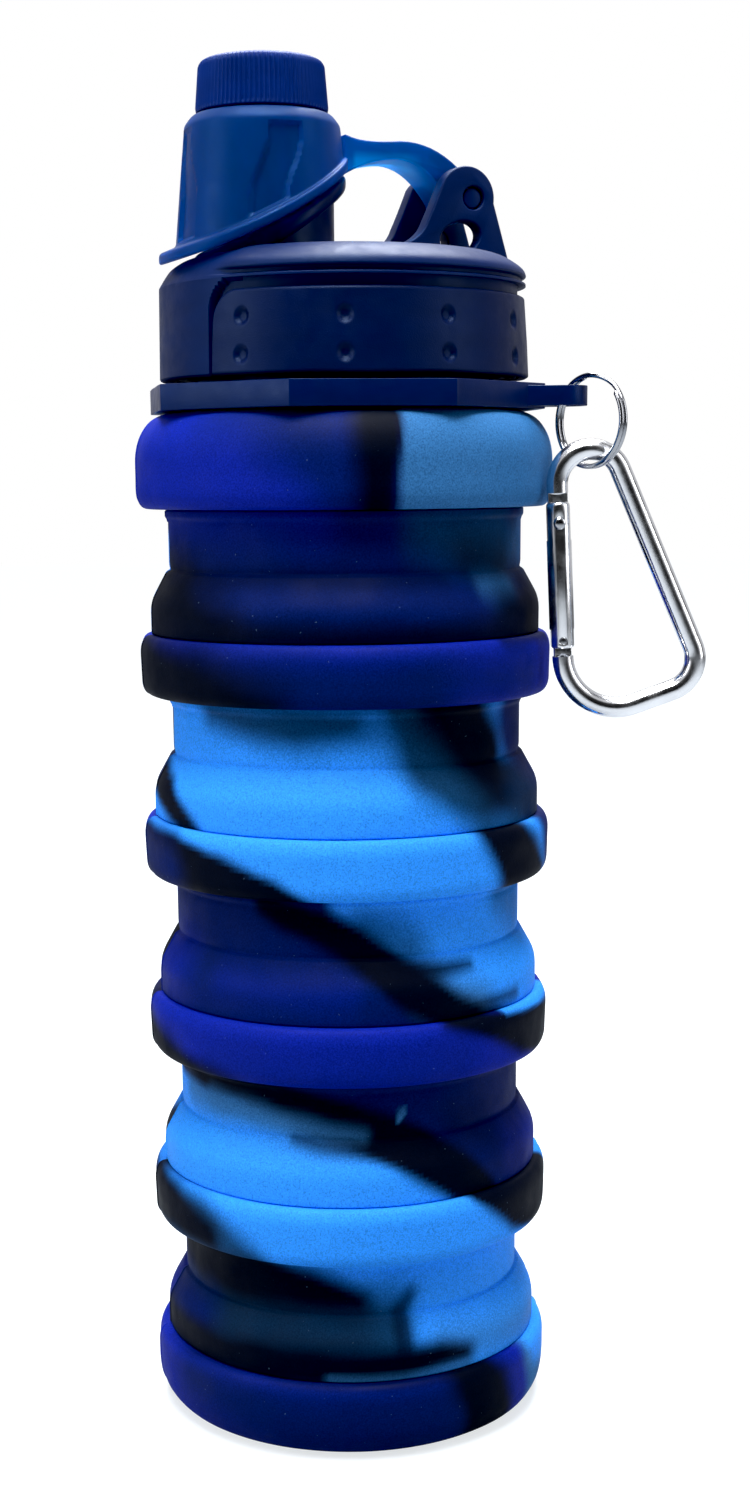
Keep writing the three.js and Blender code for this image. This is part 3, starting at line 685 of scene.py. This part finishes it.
silicone("silicone_base", "base", 0, (
    (0, 0, 0), (30.5, 0, 0.8), (33.8, 1.2, 1.4), (35.5, 3.8, 1.6), (36, 7, 2), (36, 12.6, 1.3),
    (35.1, 14.2, 0.8), (32, 14.2, 0.5), (32, 5.5, 2), (30, 3, 1), (0, 3, 0),
))
for i, name in enumerate(RINGS, 1):
    silicone(name, BODIES[i], low(name)[2], (
        (28.7, 0, 0.5), (34.9, 0, 0.9), (35.8, 1.5, 1.1), (36, 8.6, 1.4), (35.1, 10.4, 0.8),
        (32, 10.4, 0.4), (32, 2, 0.6), (28.7, 2, 0.4),
    ))
for i, name in enumerate(WALL_PIECES):
    silicone(name, BODIES[i], low(name)[2] - 0.3, (
        (34, 0, 0.3), (34, 5.6, 1.7), (31.2, 10.6, 0.3), (30.5, 11, 0.3), (30.7, 11.8, 0.6),
        (30.7, 19.4, 0.4), (31.1, 20, 0.3), (31.1, 21.1, 0.2), (28.7, 21.1, 0.3), (28.7, 10.4, 1.4),
        (32, 4.8, 1.4), (32, 0, 0.3),
    ), f"fold_{i + 1}")
silicone("silicone_collar", "collar", low("silicone_collar")[2], (
    (28.4, 0, 0.5), (34.9, 0, 0.9), (35.8, 1.6, 1), (36, 3, 0.8), (36, 9.2, 1.6), (35.2, 12.3, 1.6),
    (33.4, 14.8, 1.4), (31, 15.9, 0.8), (28.4, 15.9, 0.4), (28.4, 8.2, 0.2), (30, 8.2, 0.3), (30, 5.4, 0.3),
    (28.4, 5.4, 0.2),
))


# ---------------------------------------------------------------- Neck

def flange_outline():
    """A scalloped edge: pointed lobes with hollow curves between them."""
    def edge(azimuth):
        hollow = abs(math.sin(math.radians(4 * (azimuth - LUG_AZIMUTH))))
        return polar(35.1 - 2.6 * hollow ** 0.85, azimuth, 0)[:2]

    return [edge(k / 2) for k in range(720)]


def circle(radius, x=0, y=0, count=120):
    return ellipse(x, y, radius, radius, 0, count)


def lug_outline():
    """A round-nosed tab that reaches out along +X."""
    nose = [(38 + x, y) for x, y, z in (polar(4.2, angle, 0) for angle in range(-90, 91, 6))]
    return [(29, -5.4), (33.6, -5.4), (35.2, -4.5), *nose, (35.2, 4.5), (33.6, 5.4), (29, 5.4)]


def neck_ring():
    tube = turned("neck_ring", (
        (23.6, 165, 0.3), (28.1, 165, 0.3), (28.1, 168.5, 0.2), (29.7, 168.5, 0.3), (29.7, 170.7, 0.3),
        (28.1, 170.7, 0.2), (28.1, 182, 0.2), (25, 182, 0.5), (25, 196.4, 0.3), (24.4, 197, 0.3),
        (23.6, 197, 0.3),
    ), 2)
    flange = extruded("flange", flange_outline(), FLANGE_BOTTOM, FLANGE_TOP, [circle(26)])
    lug = rotated(extruded("lug", lug_outline(), FLANGE_BOTTOM + 0.4, FLANGE_TOP - 0.5), LUG_AZIMUTH)
    x, y, z = polar(38.5, LUG_AZIMUTH, 0)
    hole = extruded("lug_hole", circle(3, x, y, 40), FLANGE_BOTTOM - 5, FLANGE_TOP + 5)
    combine(combine(flange, "UNION", lug), "DIFFERENCE", hole)
    bevelled(flange, 0.45, 30)
    ridge = thread("neck_thread", 24.6, 26.4, 4, 1.25, 188.5, 2.2)
    return combine(tube, "UNION", flange, ridge)


finished(neck_ring(), "collar", NECK_LOOK)
finished(turned("lid_seal", (
    (22.8, 197.3, 0.3), (26.4, 197.3, 0.3), (26.4, 199.5, 0.5), (22.8, 199.5, 0.5),
), 4), "gasket", SEAL_LOOK)


# ---------------------------------------------------------------- Lid

CAP_RADIUS = 31             # for turning lengths round the cap into angles
POCKET_REACH = 155          # azimuth of the grip band's pocket's ends
POCKET_TOP = 15.2
POCKET_CORNER = 5.4
BAND_REACH = 153.7
BAND_TOP = 13.4
BAND_CORNER = 4.6
DIMPLE_LEVELS = (3.2, 9.1)
DIMPLE_AZIMUTHS = [-143 + 286 * column / 9 for column in range(10)]
DIMPLE_DEPTH = 0.62
EAR_CENTRE = (19.6, 30)
EAR_RADIUS = 5.1
EAR_SIDES = ((4.9, 8.3), (-8.3, -4.9))


def corner_inset(past, radius):
    """How far a round corner draws in, at a distance past its start."""
    return radius - math.sqrt(max(0, radius * radius - max(0, past) ** 2))


def pocket_share(azimuth, height):
    """1 in the shallow pocket that the grip band fills and 0 outside it."""
    drawn_in = corner_inset(height - (POCKET_TOP - POCKET_CORNER), POCKET_CORNER)
    reach = POCKET_REACH - math.degrees(drawn_in / CAP_RADIUS)
    return 1 - smoothstep(reach, reach + 0.6, abs(wrapped(azimuth)))


def shell_outline(azimuth):
    """The shell's outline.

    Over the grip band the dome ends in a lip with a fine groove under it. On the other side, under the
    cover's brim, the shoulder is one large round.
    """
    heights = [0.4 + (POCKET_TOP - 0.4) * k / 26 for k in range(27)]
    side = [Vector((lerp(31.45 - 0.015 * z, 29.8, pocket_share(azimuth, z)), z)) for z in heights]
    inside = rounded(((0, 18.9, 0), (27.4, 18.9, 0.4), (28.9, 17.4, 0.4), (28.9, 0, 0.4), (30, 0, 0)), False)
    foot = Vector((side[0].x - 0.25, 0.12))
    inside[-1] = Vector((side[0].x - 0.7, 0))
    lip = rounded((
        (31.2, POCKET_TOP, 0), (31.2, 15.6, 0.2), (30.3, 15.8, 0.15), (30.3, 16.4, 0.15), (31.3, 16.7, 0.3),
        (30.9, 17.9, 1.4), (27.4, 20.2, 2.4), (19, 21.2, 4), (0, 21.3, 0),
    ), False, 5)
    round_shoulder = rounded((
        (31.22, POCKET_TOP, 0), (31, 15.6, 0.2), (30.8, 15.9, 0.15), (30.5, 16.4, 0.15), (30.1, 17, 0.3),
        (29.3, 18.1, 1), (27, 19.6, 1.6), (19, 21.2, 4), (0, 21.3, 0),
    ), False, 5)
    share = smoothstep(143, 158, abs(wrapped(azimuth)))
    rim = [a.lerp(b, share) for a, b in zip(lip, round_shoulder)]
    return inside + [foot] + side + rim


def ear_outline():
    """One hinge ear seen from the side."""
    points = [(6.4, 20), (25.4, 19.4), (27.9, 18.1), (27.3, 20.6)]
    for angle in range(-8, 151, 5):
        x, z, y = polar(EAR_RADIUS, angle, 0)
        points.append((EAR_CENTRE[0] + x, EAR_CENTRE[1] + z))
    points += curve(points[-1], (13.6, 28.6), (12.4, 26.2), 6)
    return points + curve((12.4, 26.2), (11.2, 22.8), (6.4, 21.8), 8)


def curve(start, pull, end, count=10):
    """Points of a quadratic curve after its start."""
    a, b, c = Vector(start), Vector(pull), Vector(end)
    return [tuple(a.lerp(b, k / count).lerp(b.lerp(c, k / count), k / count)) for k in range(1, count + 1)]


def lid_shell():
    turns = azimuths(2, (-POCKET_REACH, POCKET_REACH), 9, 0.3)
    shell = revolve("lid_shell", shell_outline, turns)
    hole = ((0, 10, 0), (SPOUT_FOOT + 0.3, 10, 0), (SPOUT_FOOT + 0.3, 30, 0), (0, 30, 0))
    combine(shell, "DIFFERENCE", turned("spout_hole", hole, 4, (SPOUT_X, 0, 0)))
    for near, far in EAR_SIDES:
        window = ellipse(18.4, 23.5, 3.8, 2.6, 16)
        ear = across("ear", ear_outline(), near, far, [window, circle(1.9, HINGE_X, HINGE_Z, 40)])
        bevelled(ear, 0.55, 40, 4)
        combine(shell, "UNION", ear)
    return moved(shell, 0, 0, LID_Z)


def grip_band():
    """The band round the cap: rounded ends, and dimples pressed into it."""
    columns = azimuths(1, (-BAND_REACH, BAND_REACH), 8, 0.4, -BAND_REACH, BAND_REACH)
    for centre in DIMPLE_AZIMUTHS:
        columns = [c for c in columns if abs(c - centre) > 4]
        columns += [centre + 0.25 * k for k in range(-16, 17)]

    def outline(azimuth):
        past = math.radians(abs(azimuth) - BAND_REACH) * CAP_RADIUS + BAND_CORNER
        top = BAND_TOP - corner_inset(past, BAND_CORNER)
        points = [Vector((30.2, top - 0.1)), Vector((30.2, 0.2)), Vector((31.3, 0.1)), Vector((31.65, 0.3))]
        for k in range(45):
            z = 0.5 + (top - 0.9) * k / 44
            radius = 31.8 - 0.05 * z if z < 6 else 31.5 - 0.0714 * (z - 6)
            for centre in DIMPLE_AZIMUTHS:
                for level in DIMPLE_LEVELS:
                    away = math.hypot(math.radians(azimuth - centre) * 31.5, z - level)
                    radius -= DIMPLE_DEPTH * (1 - smoothstep(0.55, 1.6, away))
            points.append(Vector((radius, z)))
        return points + [Vector((radius - 0.12, top - 0.18)), Vector((radius - 0.45, top))]

    return moved(revolve("grip_band", outline, sorted(columns)), 0, 0, LID_Z)


def brim_height(x):
    """Height of the brim's underside at a distance towards the hinge from the spout's axis."""
    return 25.9 + 0.53 * x + 0.006 * x * x


def spout_outline(azimuth):
    """Foot, sloping collar and nozzle of the spout, round the spout's own axis."""
    lean = math.cos(math.radians(azimuth))
    free = smoothstep(19.5, 22, brim_height(SPOUT_COLLAR * lean) - 3.2)
    reach = lerp(SPOUT_FOOT + 0.1, SPOUT_COLLAR, free)
    underside = max(17.5, brim_height(reach * lean) - 3.3)
    return rounded((
        (0, 16.6, 0), (SPOUT_FOOT, 16.6, 0.2), (SPOUT_FOOT, max(17.2, underside - 0.3), 0.3),
        (reach, underside, 1.3), (reach, brim_height(reach * lean) - 0.4, 1.3),
        (7.8, brim_height(7.8 * lean) - 0.4, 0.6), (7.8, 39.95, 0.5), (0, 39.95, 0),
    ), False, 6)


def lid_core():
    core = turned("lid_core", (
        (0, 15.8, 0), (27, 15.8, 0.8), (27, 0.4, 0.3), (28.6, 0.4, 0.3), (28.6, 17.1, 0.3), (27, 18.6, 0.5),
        (0, 18.6, 0),
    ), 3)
    spout = revolve("spout", spout_outline, azimuths(3), (SPOUT_X, 0, 0))
    inner_ridge = thread("lid_thread", 27.3, 25.5, 4, 1, 2.5, 2.2)
    outer_ridge = thread("nozzle_thread", 7.5, 8.4, 3, 1, 33.4, 1.4, SPOUT_X)
    combine(core, "UNION", spout, inner_ridge, outer_ridge)
    bore = turned("spout_bore", ((0, 5, 0), (6.3, 5, 0), (6.3, 45, 0), (0, 45, 0)), 5, (SPOUT_X, 0, 0))
    return moved(combine(core, "DIFFERENCE", bore), 0, 0, LID_Z)


def hinge_pin():
    pin = across("hinge_pin", circle(1.65, HINGE_X, HINGE_Z, 40), -7.7, 7.7)
    return moved(bevelled(pin, 0.25), 0, 0, LID_Z)


finished(lid_shell(), "lid", LID_LOOK)
finished(grip_band(), "lid", BAND_LOOK)
finished(lid_core(), "lid", NECK_LOOK)
finished(hinge_pin(), "lid", NECK_LOOK)


# ---------------------------------------------------------------- Spout cover and knob

ARM_HALF = 4.6              # half the arm's width
KNOB_RIBS = 84
RIB_HEIGHT = 0.38


def recess(azimuth, height):
    """Depth of the finger recesses, whose edges sweep in an S down the sleeve to the brim."""
    depth = 0
    for centre in (180, 99, -99):
        side = -1 if centre < 0 else 1
        drift = side * (7 - 13 * smoothstep(28, 38, height))
        gap = wrapped(azimuth - centre - drift)
        depth = max(depth, smoothstep(-13, -11, gap) * (1 - smoothstep(11, 13, gap)))
    return 0.7 * depth * (1 - smoothstep(39.2, 40.1, height))


def cover_outline(azimuth):
    """The sleeve with its sloping brim, round the spout's axis."""
    lean = math.cos(math.radians(azimuth))
    off_axis = BRIM_OFFSET * math.sin(math.radians(azimuth))
    edge = BRIM_OFFSET * lean + math.sqrt(BRIM_RADIUS * BRIM_RADIUS - off_axis * off_axis)

    def sleeve(z, bottom_radius, top_radius):
        return lerp(bottom_radius, top_radius, min(1, max(0, (z - 16) / 24.4)))

    brim = brim_height(edge * lean)
    hem = brim_height(13.2 * lean)
    root = brim_height(14.2 * lean) + BRIM_THICK
    lower = rounded((
        (11.5, 39.6, 0), (sleeve(hem, 13.7, 11.5), hem, 0.3), (edge, brim, 0.7),
        (edge, brim + BRIM_THICK, 0.7), (sleeve(root, 15.3, 13), root, 0.5), (13, 40, 0),
    ), False, 5)
    wall = [lower[-2].lerp(lower[-1], k / 30) for k in range(1, 30)]
    wall = [Vector((p.x - recess(azimuth, p.y), p.y)) for p in wall]
    top = rounded(((13, 40, 0), (12.9, 40.7, 0.6), (11.5, 42.5, 1.2), (9.9, 42.5, 0.4), (9.9, 41.2, 0.3),
                   (11.2, 41.2, 0.4), (11.5, 39.6, 0)), False, 4)
    return lower[:-1] + wall + lower[-1:] + top[1:-1]


def spout_cover():
    """The sleeve, with the arm that bends over to the knuckle on the hinge pin."""
    cover = revolve("spout_cover", cover_outline, azimuths(2))
    knuckle_x = HINGE_X - SPOUT_X
    foot, crown = (12.7, 33.2), (knuckle_x + 1.4, HINGE_Z + 2.9)
    outline = [foot]
    outline += curve(foot, (17.6, 36), (22.6, 36.1))
    outline += curve((22.6, 36.1), (28, 35.9), (knuckle_x - 2.8, HINGE_Z - 1))
    outline += [crown]
    outline += curve(crown, (30.2, 39.4), (23.1, 39.1))
    outline += curve((23.1, 39.1), (15.6, 38.4), (13, 39.8))
    arm = bevelled(across("arm", outline, -ARM_HALF, ARM_HALF), 0.7, 40, 4)
    knuckle = bevelled(across("knuckle", circle(3.3, knuckle_x, HINGE_Z, 64), -ARM_HALF, ARM_HALF), 0.4)
    combine(cover, "UNION", arm, knuckle)
    bore = across("pin_bore", circle(1.7, knuckle_x, HINGE_Z, 40), -10, 10)
    return moved(combine(cover, "DIFFERENCE", bore), SPOUT_X, 0, LID_Z)


def knob_outline(azimuth):
    """The knob with its skirt, flange, ribbed side and slightly domed top."""
    rib = RIB_HEIGHT * (0.5 + 0.5 * math.cos(math.radians(KNOB_RIBS * azimuth))) ** 1.5
    return rounded((
        (0, 49.8, 0), (8.9, 49.8, 0.3), (8.9, 37.5, 0.2), (9.6, 37.5, 0.2), (9.6, 39.7, 0.15),
        (10.9, 39.7, 0.3), (10.9, 41.1, 0.3), (9.6, 41.1, 0.2), (9.6, 42.8, 0.2), (10.9, 42.8, 0.3),
        (10.65 + rib, 43.5, 0.3), (10.1 + rib, 50, 0.3), (9.8 + 0.6 * rib, 50.7, 0.25), (9.2, 51.1, 0.4),
        (4, 51.2, 0.5), (0, 51.2, 0),
    ), False, 3)


def cap_knob():
    return moved(revolve("cap_knob", knob_outline, azimuths(60 / KNOB_RIBS)), SPOUT_X, 0, LID_Z)


def cap_seal():
    seal = turned("cap_seal", (
        (0, 40.3, 0), (7.4, 40.3, 0.6), (7.4, 42.2, 0.5), (5, 42.2, 0.3), (5, 49.5, 0.3), (0, 49.5, 0),
    ), 5)
    return moved(seal, SPOUT_X, 0, LID_Z)


finished(spout_cover(), "cover", COVER_LOOK)
finished(cap_knob(), "knob", KNOB_LOOK, 60)
finished(cap_seal(), "knob", SEAL_LOOK)


# ---------------------------------------------------------------- Split ring and carabiner

RING_CENTRE = middle("split_ring")
RING_AZIMUTH = -73
HANG_AZIMUTH = -22
HANG_TILT = -2.6
HANG_DROP = 10.1           # from the split ring's centre to the centre of the carabiner's top bend
# The rest is in the carabiner's own axes, from that centre: x outwards and w up.
BAR = 1.8                  # the bar's radius
GATE_X = -5.5
GATE_TOP = -2.8
GATE_BOTTOM = -27.2
NOSE_END = -28
PIVOT_W = -6.3
CATCH_W = -26
TONGUE = 0.6               # half the thickness of the tongues that the gate's forked ends hold
SLOT = 0.85
BENDS = ((0, 0, 5.5), (11.4, -30, 5.6), (3.7, -28.6, 9.2))      # centre and radius of the bar's bends


def hang(piece):
    """Move a form from the carabiner's own axes to where it hangs."""
    x, y, z = RING_CENTRE
    return moved(rotated(rotated(piece, HANG_TILT, "Y"), HANG_AZIMUTH), x, y, z - HANG_DROP)


def split_ring():
    """Two turns of wire side by side, stepping across between their ends."""
    path = []
    for k in range(161):
        turn = lerp(0.085, 1.915, k / 160)
        path.append(Vector(polar(7.4, 360 * turn + 70, lerp(-0.42, 0.42, smoothstep(0.94, 1.06, turn)))))
    ring = swept("split_ring", path, round_section(0.42, 14, 0.004))
    return moved(rotated(rotated(ring, 90, "X"), RING_AZIMUTH), *RING_CENTRE)


def tangent_angle(start, end):
    """Angle at which the outer tangent of two bends leaves the first one."""
    gap = math.hypot(end[0] - start[0], end[1] - start[1])
    return math.atan2(end[1] - start[1], end[0] - start[0]) + math.acos((start[2] - end[2]) / gap)


def bar_line():
    """The middle line of the bent bar, from the hinge round to the nose."""
    outer_side = tangent_angle(BENDS[0], BENDS[1])
    underside = tangent_angle(BENDS[1], BENDS[2]) - 2 * math.pi
    stops = (math.pi, outer_side, underside, -math.pi)
    points = [Vector((GATE_X, 0, -1.7 + 0.34 * k)) for k in range(5)]
    for (x, w, radius), start, end in zip(BENDS, stops, stops[1:]):
        count = int((start - end) * radius / 0.5)
        for k in range(count + 1):
            angle = lerp(start, end, k / count)
            points.append(Vector((x + radius * math.cos(angle), 0, w + radius * math.sin(angle))))
    return points + [Vector((GATE_X, 0, NOSE_END))]


def carabiner_frame():
    bar = swept("carabiner_frame", bar_line(), round_section(BAR, 28, 0.006))
    tongue = [(GATE_X - 1.7, -0.6)]
    end = [polar(1.7, angle, 0) for angle in range(-180, 1, 10)]
    tongue += [(GATE_X + x, PIVOT_W + w) for x, w, y in end]
    tongue += [(GATE_X + 1.7, -0.6)]
    pivot = circle(0.9, GATE_X, PIVOT_W, 24)
    hinge = bevelled(across("hinge_tongue", tongue, -TONGUE, TONGUE, [pivot]), 0.12)
    nose = [(GATE_X + x, w) for x, w in (
        (-1.5, GATE_BOTTOM - 2), (1.5, GATE_BOTTOM - 2), (1.5, CATCH_W - 0.9), (-0.9, CATCH_W - 0.9),
        (-0.9, CATCH_W + 0.9), (1.5, CATCH_W + 0.9), (1.2, CATCH_W + 1.3), (-1.5, CATCH_W + 1.3),
    )]
    catch = bevelled(across("nose_tongue", nose, -TONGUE, TONGUE), 0.12)
    return hang(combine(bar, "UNION", hinge, catch))


def carabiner_gate():
    """A bar with a bore for its spring, and forked at both ends."""
    gate = turned("carabiner_gate", (
        (0, GATE_BOTTOM, 0), (2.1, GATE_BOTTOM, 0.5), (2.1, GATE_TOP, 0.8), (0, GATE_TOP, 0),
    ), 8, (GATE_X, 0, 0))
    cuts = []
    for bottom, top in ((-9.2, 0), (-30, -24)):
        fork = [(GATE_X - 4, bottom), (GATE_X + 4, bottom), (GATE_X + 4, top), (GATE_X - 4, top)]
        cuts.append(across("slot", fork, -SLOT, SLOT))
    bore = ((0, -16.6, 0), (1.1, -16.6, 0), (1.1, -8.6, 0), (0, -8.6, 0))
    cuts += [turned("spring_bore", bore, 15, (GATE_X, 0, 0)),
             across("hole", circle(0.8, GATE_X, PIVOT_W, 28), -5, 5),
             across("hole", circle(0.75, GATE_X, CATCH_W, 28), -5, 5)]
    return hang(bevelled(combine(gate, "DIFFERENCE", *cuts), 0.1, 50, 2))


def gate_rivet():
    rivet = turned("gate_rivet", (
        (0, -2.72, 0), (0.7, -2.6, 0.3), (1.1, -2.25, 0.1), (0.55, -2.25, 0), (0.55, 2.25, 0),
        (1.1, 2.25, 0.1), (0.7, 2.6, 0.3), (0, 2.72, 0),
    ), 10)
    return hang(moved(rotated(rivet, 90, "X"), GATE_X, 0, PIVOT_W))


def gate_catch_pin():
    return hang(bevelled(across("gate_catch_pin", circle(0.55, GATE_X, CATCH_W, 24), -1.9, 1.9), 0.1))


def gate_plunger():
    outline = ((0, -10.7, 0), (0.75, -10.7, 0.1), (0.75, -8.5, 0.3), (0, -8.4, 0))
    return hang(turned("gate_plunger", outline, 15, (GATE_X, 0, 0)))


def gate_spring():
    return hang(swept("gate_spring", helix(0.7, 1.06, 5, -16.3, GATE_X, 24), round_section(0.18, 10)))


finished(split_ring(), "key_ring", STEEL_LOOK, 60)
finished(carabiner_frame(), "carabiner", ALUMINIUM_LOOK)
finished(gate_rivet(), "carabiner", STEEL_LOOK)
finished(carabiner_gate(), "gate", ALUMINIUM_LOOK)
finished(gate_catch_pin(), "gate", STEEL_LOOK)
finished(gate_plunger(), "gate", STEEL_LOOK)
finished(gate_spring(), "gate", STEEL_LOOK)


# ---------------------------------------------------------------- Floor, light and camera

FLOOR_RADIUS = 4000
FLOOR_COLOUR = (0.3, 0.32, 0.34)
STUDIO_PLACES = (0.36, 0.42, 0.57, 0.64, 0.8, 0.88)       # from straight behind the bottle to the camera
STUDIO_VALUES = (1, 0.9, 0.05, 0.04, 0.8, 1, 0.06, 0.02)
LIT_POINT = (0, 0, 0.11)             # metres, as are the camera's place and the lights' sizes and places
CAMERA_PLACE = (-0.141, -0.349, 0.1678)
CAMERA_PITCH = -12.1
CAMERA_ROLL = -0.5
FOCAL_LENGTH = 50.8
BLACK_LEVEL = 0.006


def floor():
    """A wide white floor that takes a faint shadow and sends little light back up."""
    ground = extruded("floor", circle(FLOOR_RADIUS, 0, 0, 96), -4, 0)
    look = Look("white_floor", 0.8, FLOOR_COLOUR)
    look.set("Base Color", look.scaled(FLOOR_COLOUR, look.remap(look.grain(60), 0.98, 1.02)))
    look.set("Specular IOR Level", 0.1)
    away = look.node("VectorMath", {0: look.place}, operation="LENGTH")["Value"]
    look.set("Emission Color", look.scaled((0.95, 0.98, 1), look.remap(away, 0.74, 1, 0.1, 0.9)))
    seen = look.node("LightPath")["Is Camera Ray"]
    look.set("Emission Strength", look.remap(seen, 0.05, 1, 0, 1))
    ground.data.materials.append(look.material)
    return ground


def softbox(name, azimuth, height, distance, width, tall, power):
    """A soft rectangular light that points at the bottle. The azimuth counts from the camera's."""
    light = bpy.data.lights.new(name, "AREA")
    light.shape = "RECTANGLE"
    light.size = width
    light.size_y = tall
    light.energy = power
    lamp = bpy.data.objects.new(name, light)
    bpy.context.scene.collection.objects.link(lamp)
    lamp.location = place = Vector(polar(distance, azimuth + CAMERA_AZIMUTH, height))
    lamp.rotation_euler = (Vector(LIT_POINT) - place).to_track_quat("-Z", "Y").to_euler()
    return lamp


def surroundings():
    """White behind the bottle, faint light from all round, and a studio that only shows in reflections.

    The studio is dark where the camera stands, bright behind the bottle, and has a dark band at the sides.
    """
    world = bpy.data.worlds.new("studio")
    bpy.context.scene.world = world
    world.use_nodes = True
    tree = world.node_tree
    white = add_node(tree, "Background", {"Color": (1, 1, 1, 1)})[0]
    faint = add_node(tree, "Background", {"Color": (0.9, 0.95, 1, 1), "Strength": 0.07})[0]
    direction = add_node(tree, "TexCoord")["Generated"]
    pair = {0: direction, 1: polar(1, CAMERA_AZIMUTH, 0)}
    facing = add_node(tree, "VectorMath", pair, operation="DOT_PRODUCT")["Value"]
    share = add_node(tree, "MapRange", {"Value": facing, "From Min": -1})["Result"]
    ramp = tree.nodes.new("ShaderNodeValToRGB")
    plug(tree, ramp.inputs["Fac"], share)
    stops = ramp.color_ramp.elements
    for stop_place in STUDIO_PLACES:
        stops.new(stop_place)
    for stop, value in zip(stops, STUDIO_VALUES):
        stop.color = (value, value, value * 1.03, 1)
    studio = add_node(tree, "Background", {"Color": ramp.outputs["Color"], "Strength": 0.6})[0]
    ray = add_node(tree, "LightPath")
    mirrored = add_node(tree, "MixShader", {"Fac": ray["Is Glossy Ray"], 1: faint, 2: studio})[0]
    through = {0: ray["Is Camera Ray"], 1: ray["Is Transmission Ray"]}
    direct = add_node(tree, "Math", through, operation="MAXIMUM")[0]
    seen = add_node(tree, "MixShader", {"Fac": direct, 1: mirrored, 2: white})[0]
    plug(tree, tree.nodes["World Output"].inputs["Surface"], seen)


def camera():
    """The camera stands a little below the lid and looks slightly down."""
    lens = bpy.data.cameras.new("camera")
    lens.lens = FOCAL_LENGTH
    lens.shift_x = 0.018
    lens.shift_y = 0.121
    lens.clip_start = 0.01
    eye = bpy.data.objects.new("camera", lens)
    bpy.context.scene.collection.objects.link(eye)
    turns = ((CAMERA_AZIMUTH + 90, "Z"), (CAMERA_PITCH + 90, "X"), (CAMERA_ROLL, "Z"))
    heading, pitch, roll = (Matrix.Rotation(math.radians(angle), 4, axis) for angle, axis in turns)
    eye.matrix_world = Matrix.Translation(CAMERA_PLACE) @ heading @ pitch @ roll
    bpy.context.scene.camera = eye


floor()
softbox("left_softbox", -70, 0.4, 0.7, 0.25, 0.6, 2.6)
softbox("right_softbox", 72, 0.4, 0.75, 0.25, 0.6, 1.6)
softbox("top_softbox", -8, 0.9, 0.42, 0.4, 0.4, 7.6)
softbox("overhead_softbox", -8, 0.95, 0.08, 0.5, 0.4, 8)
softbox("back_softbox", 175, 0.85, 0.34, 0.5, 0.3, 14)
surroundings()
camera()
view = bpy.context.scene.view_settings
view.view_transform = "Standard"
view.use_curve_mapping = True
view.curve_mapping.black_level = (BLACK_LEVEL, BLACK_LEVEL, BLACK_LEVEL)
view.curve_mapping.update()
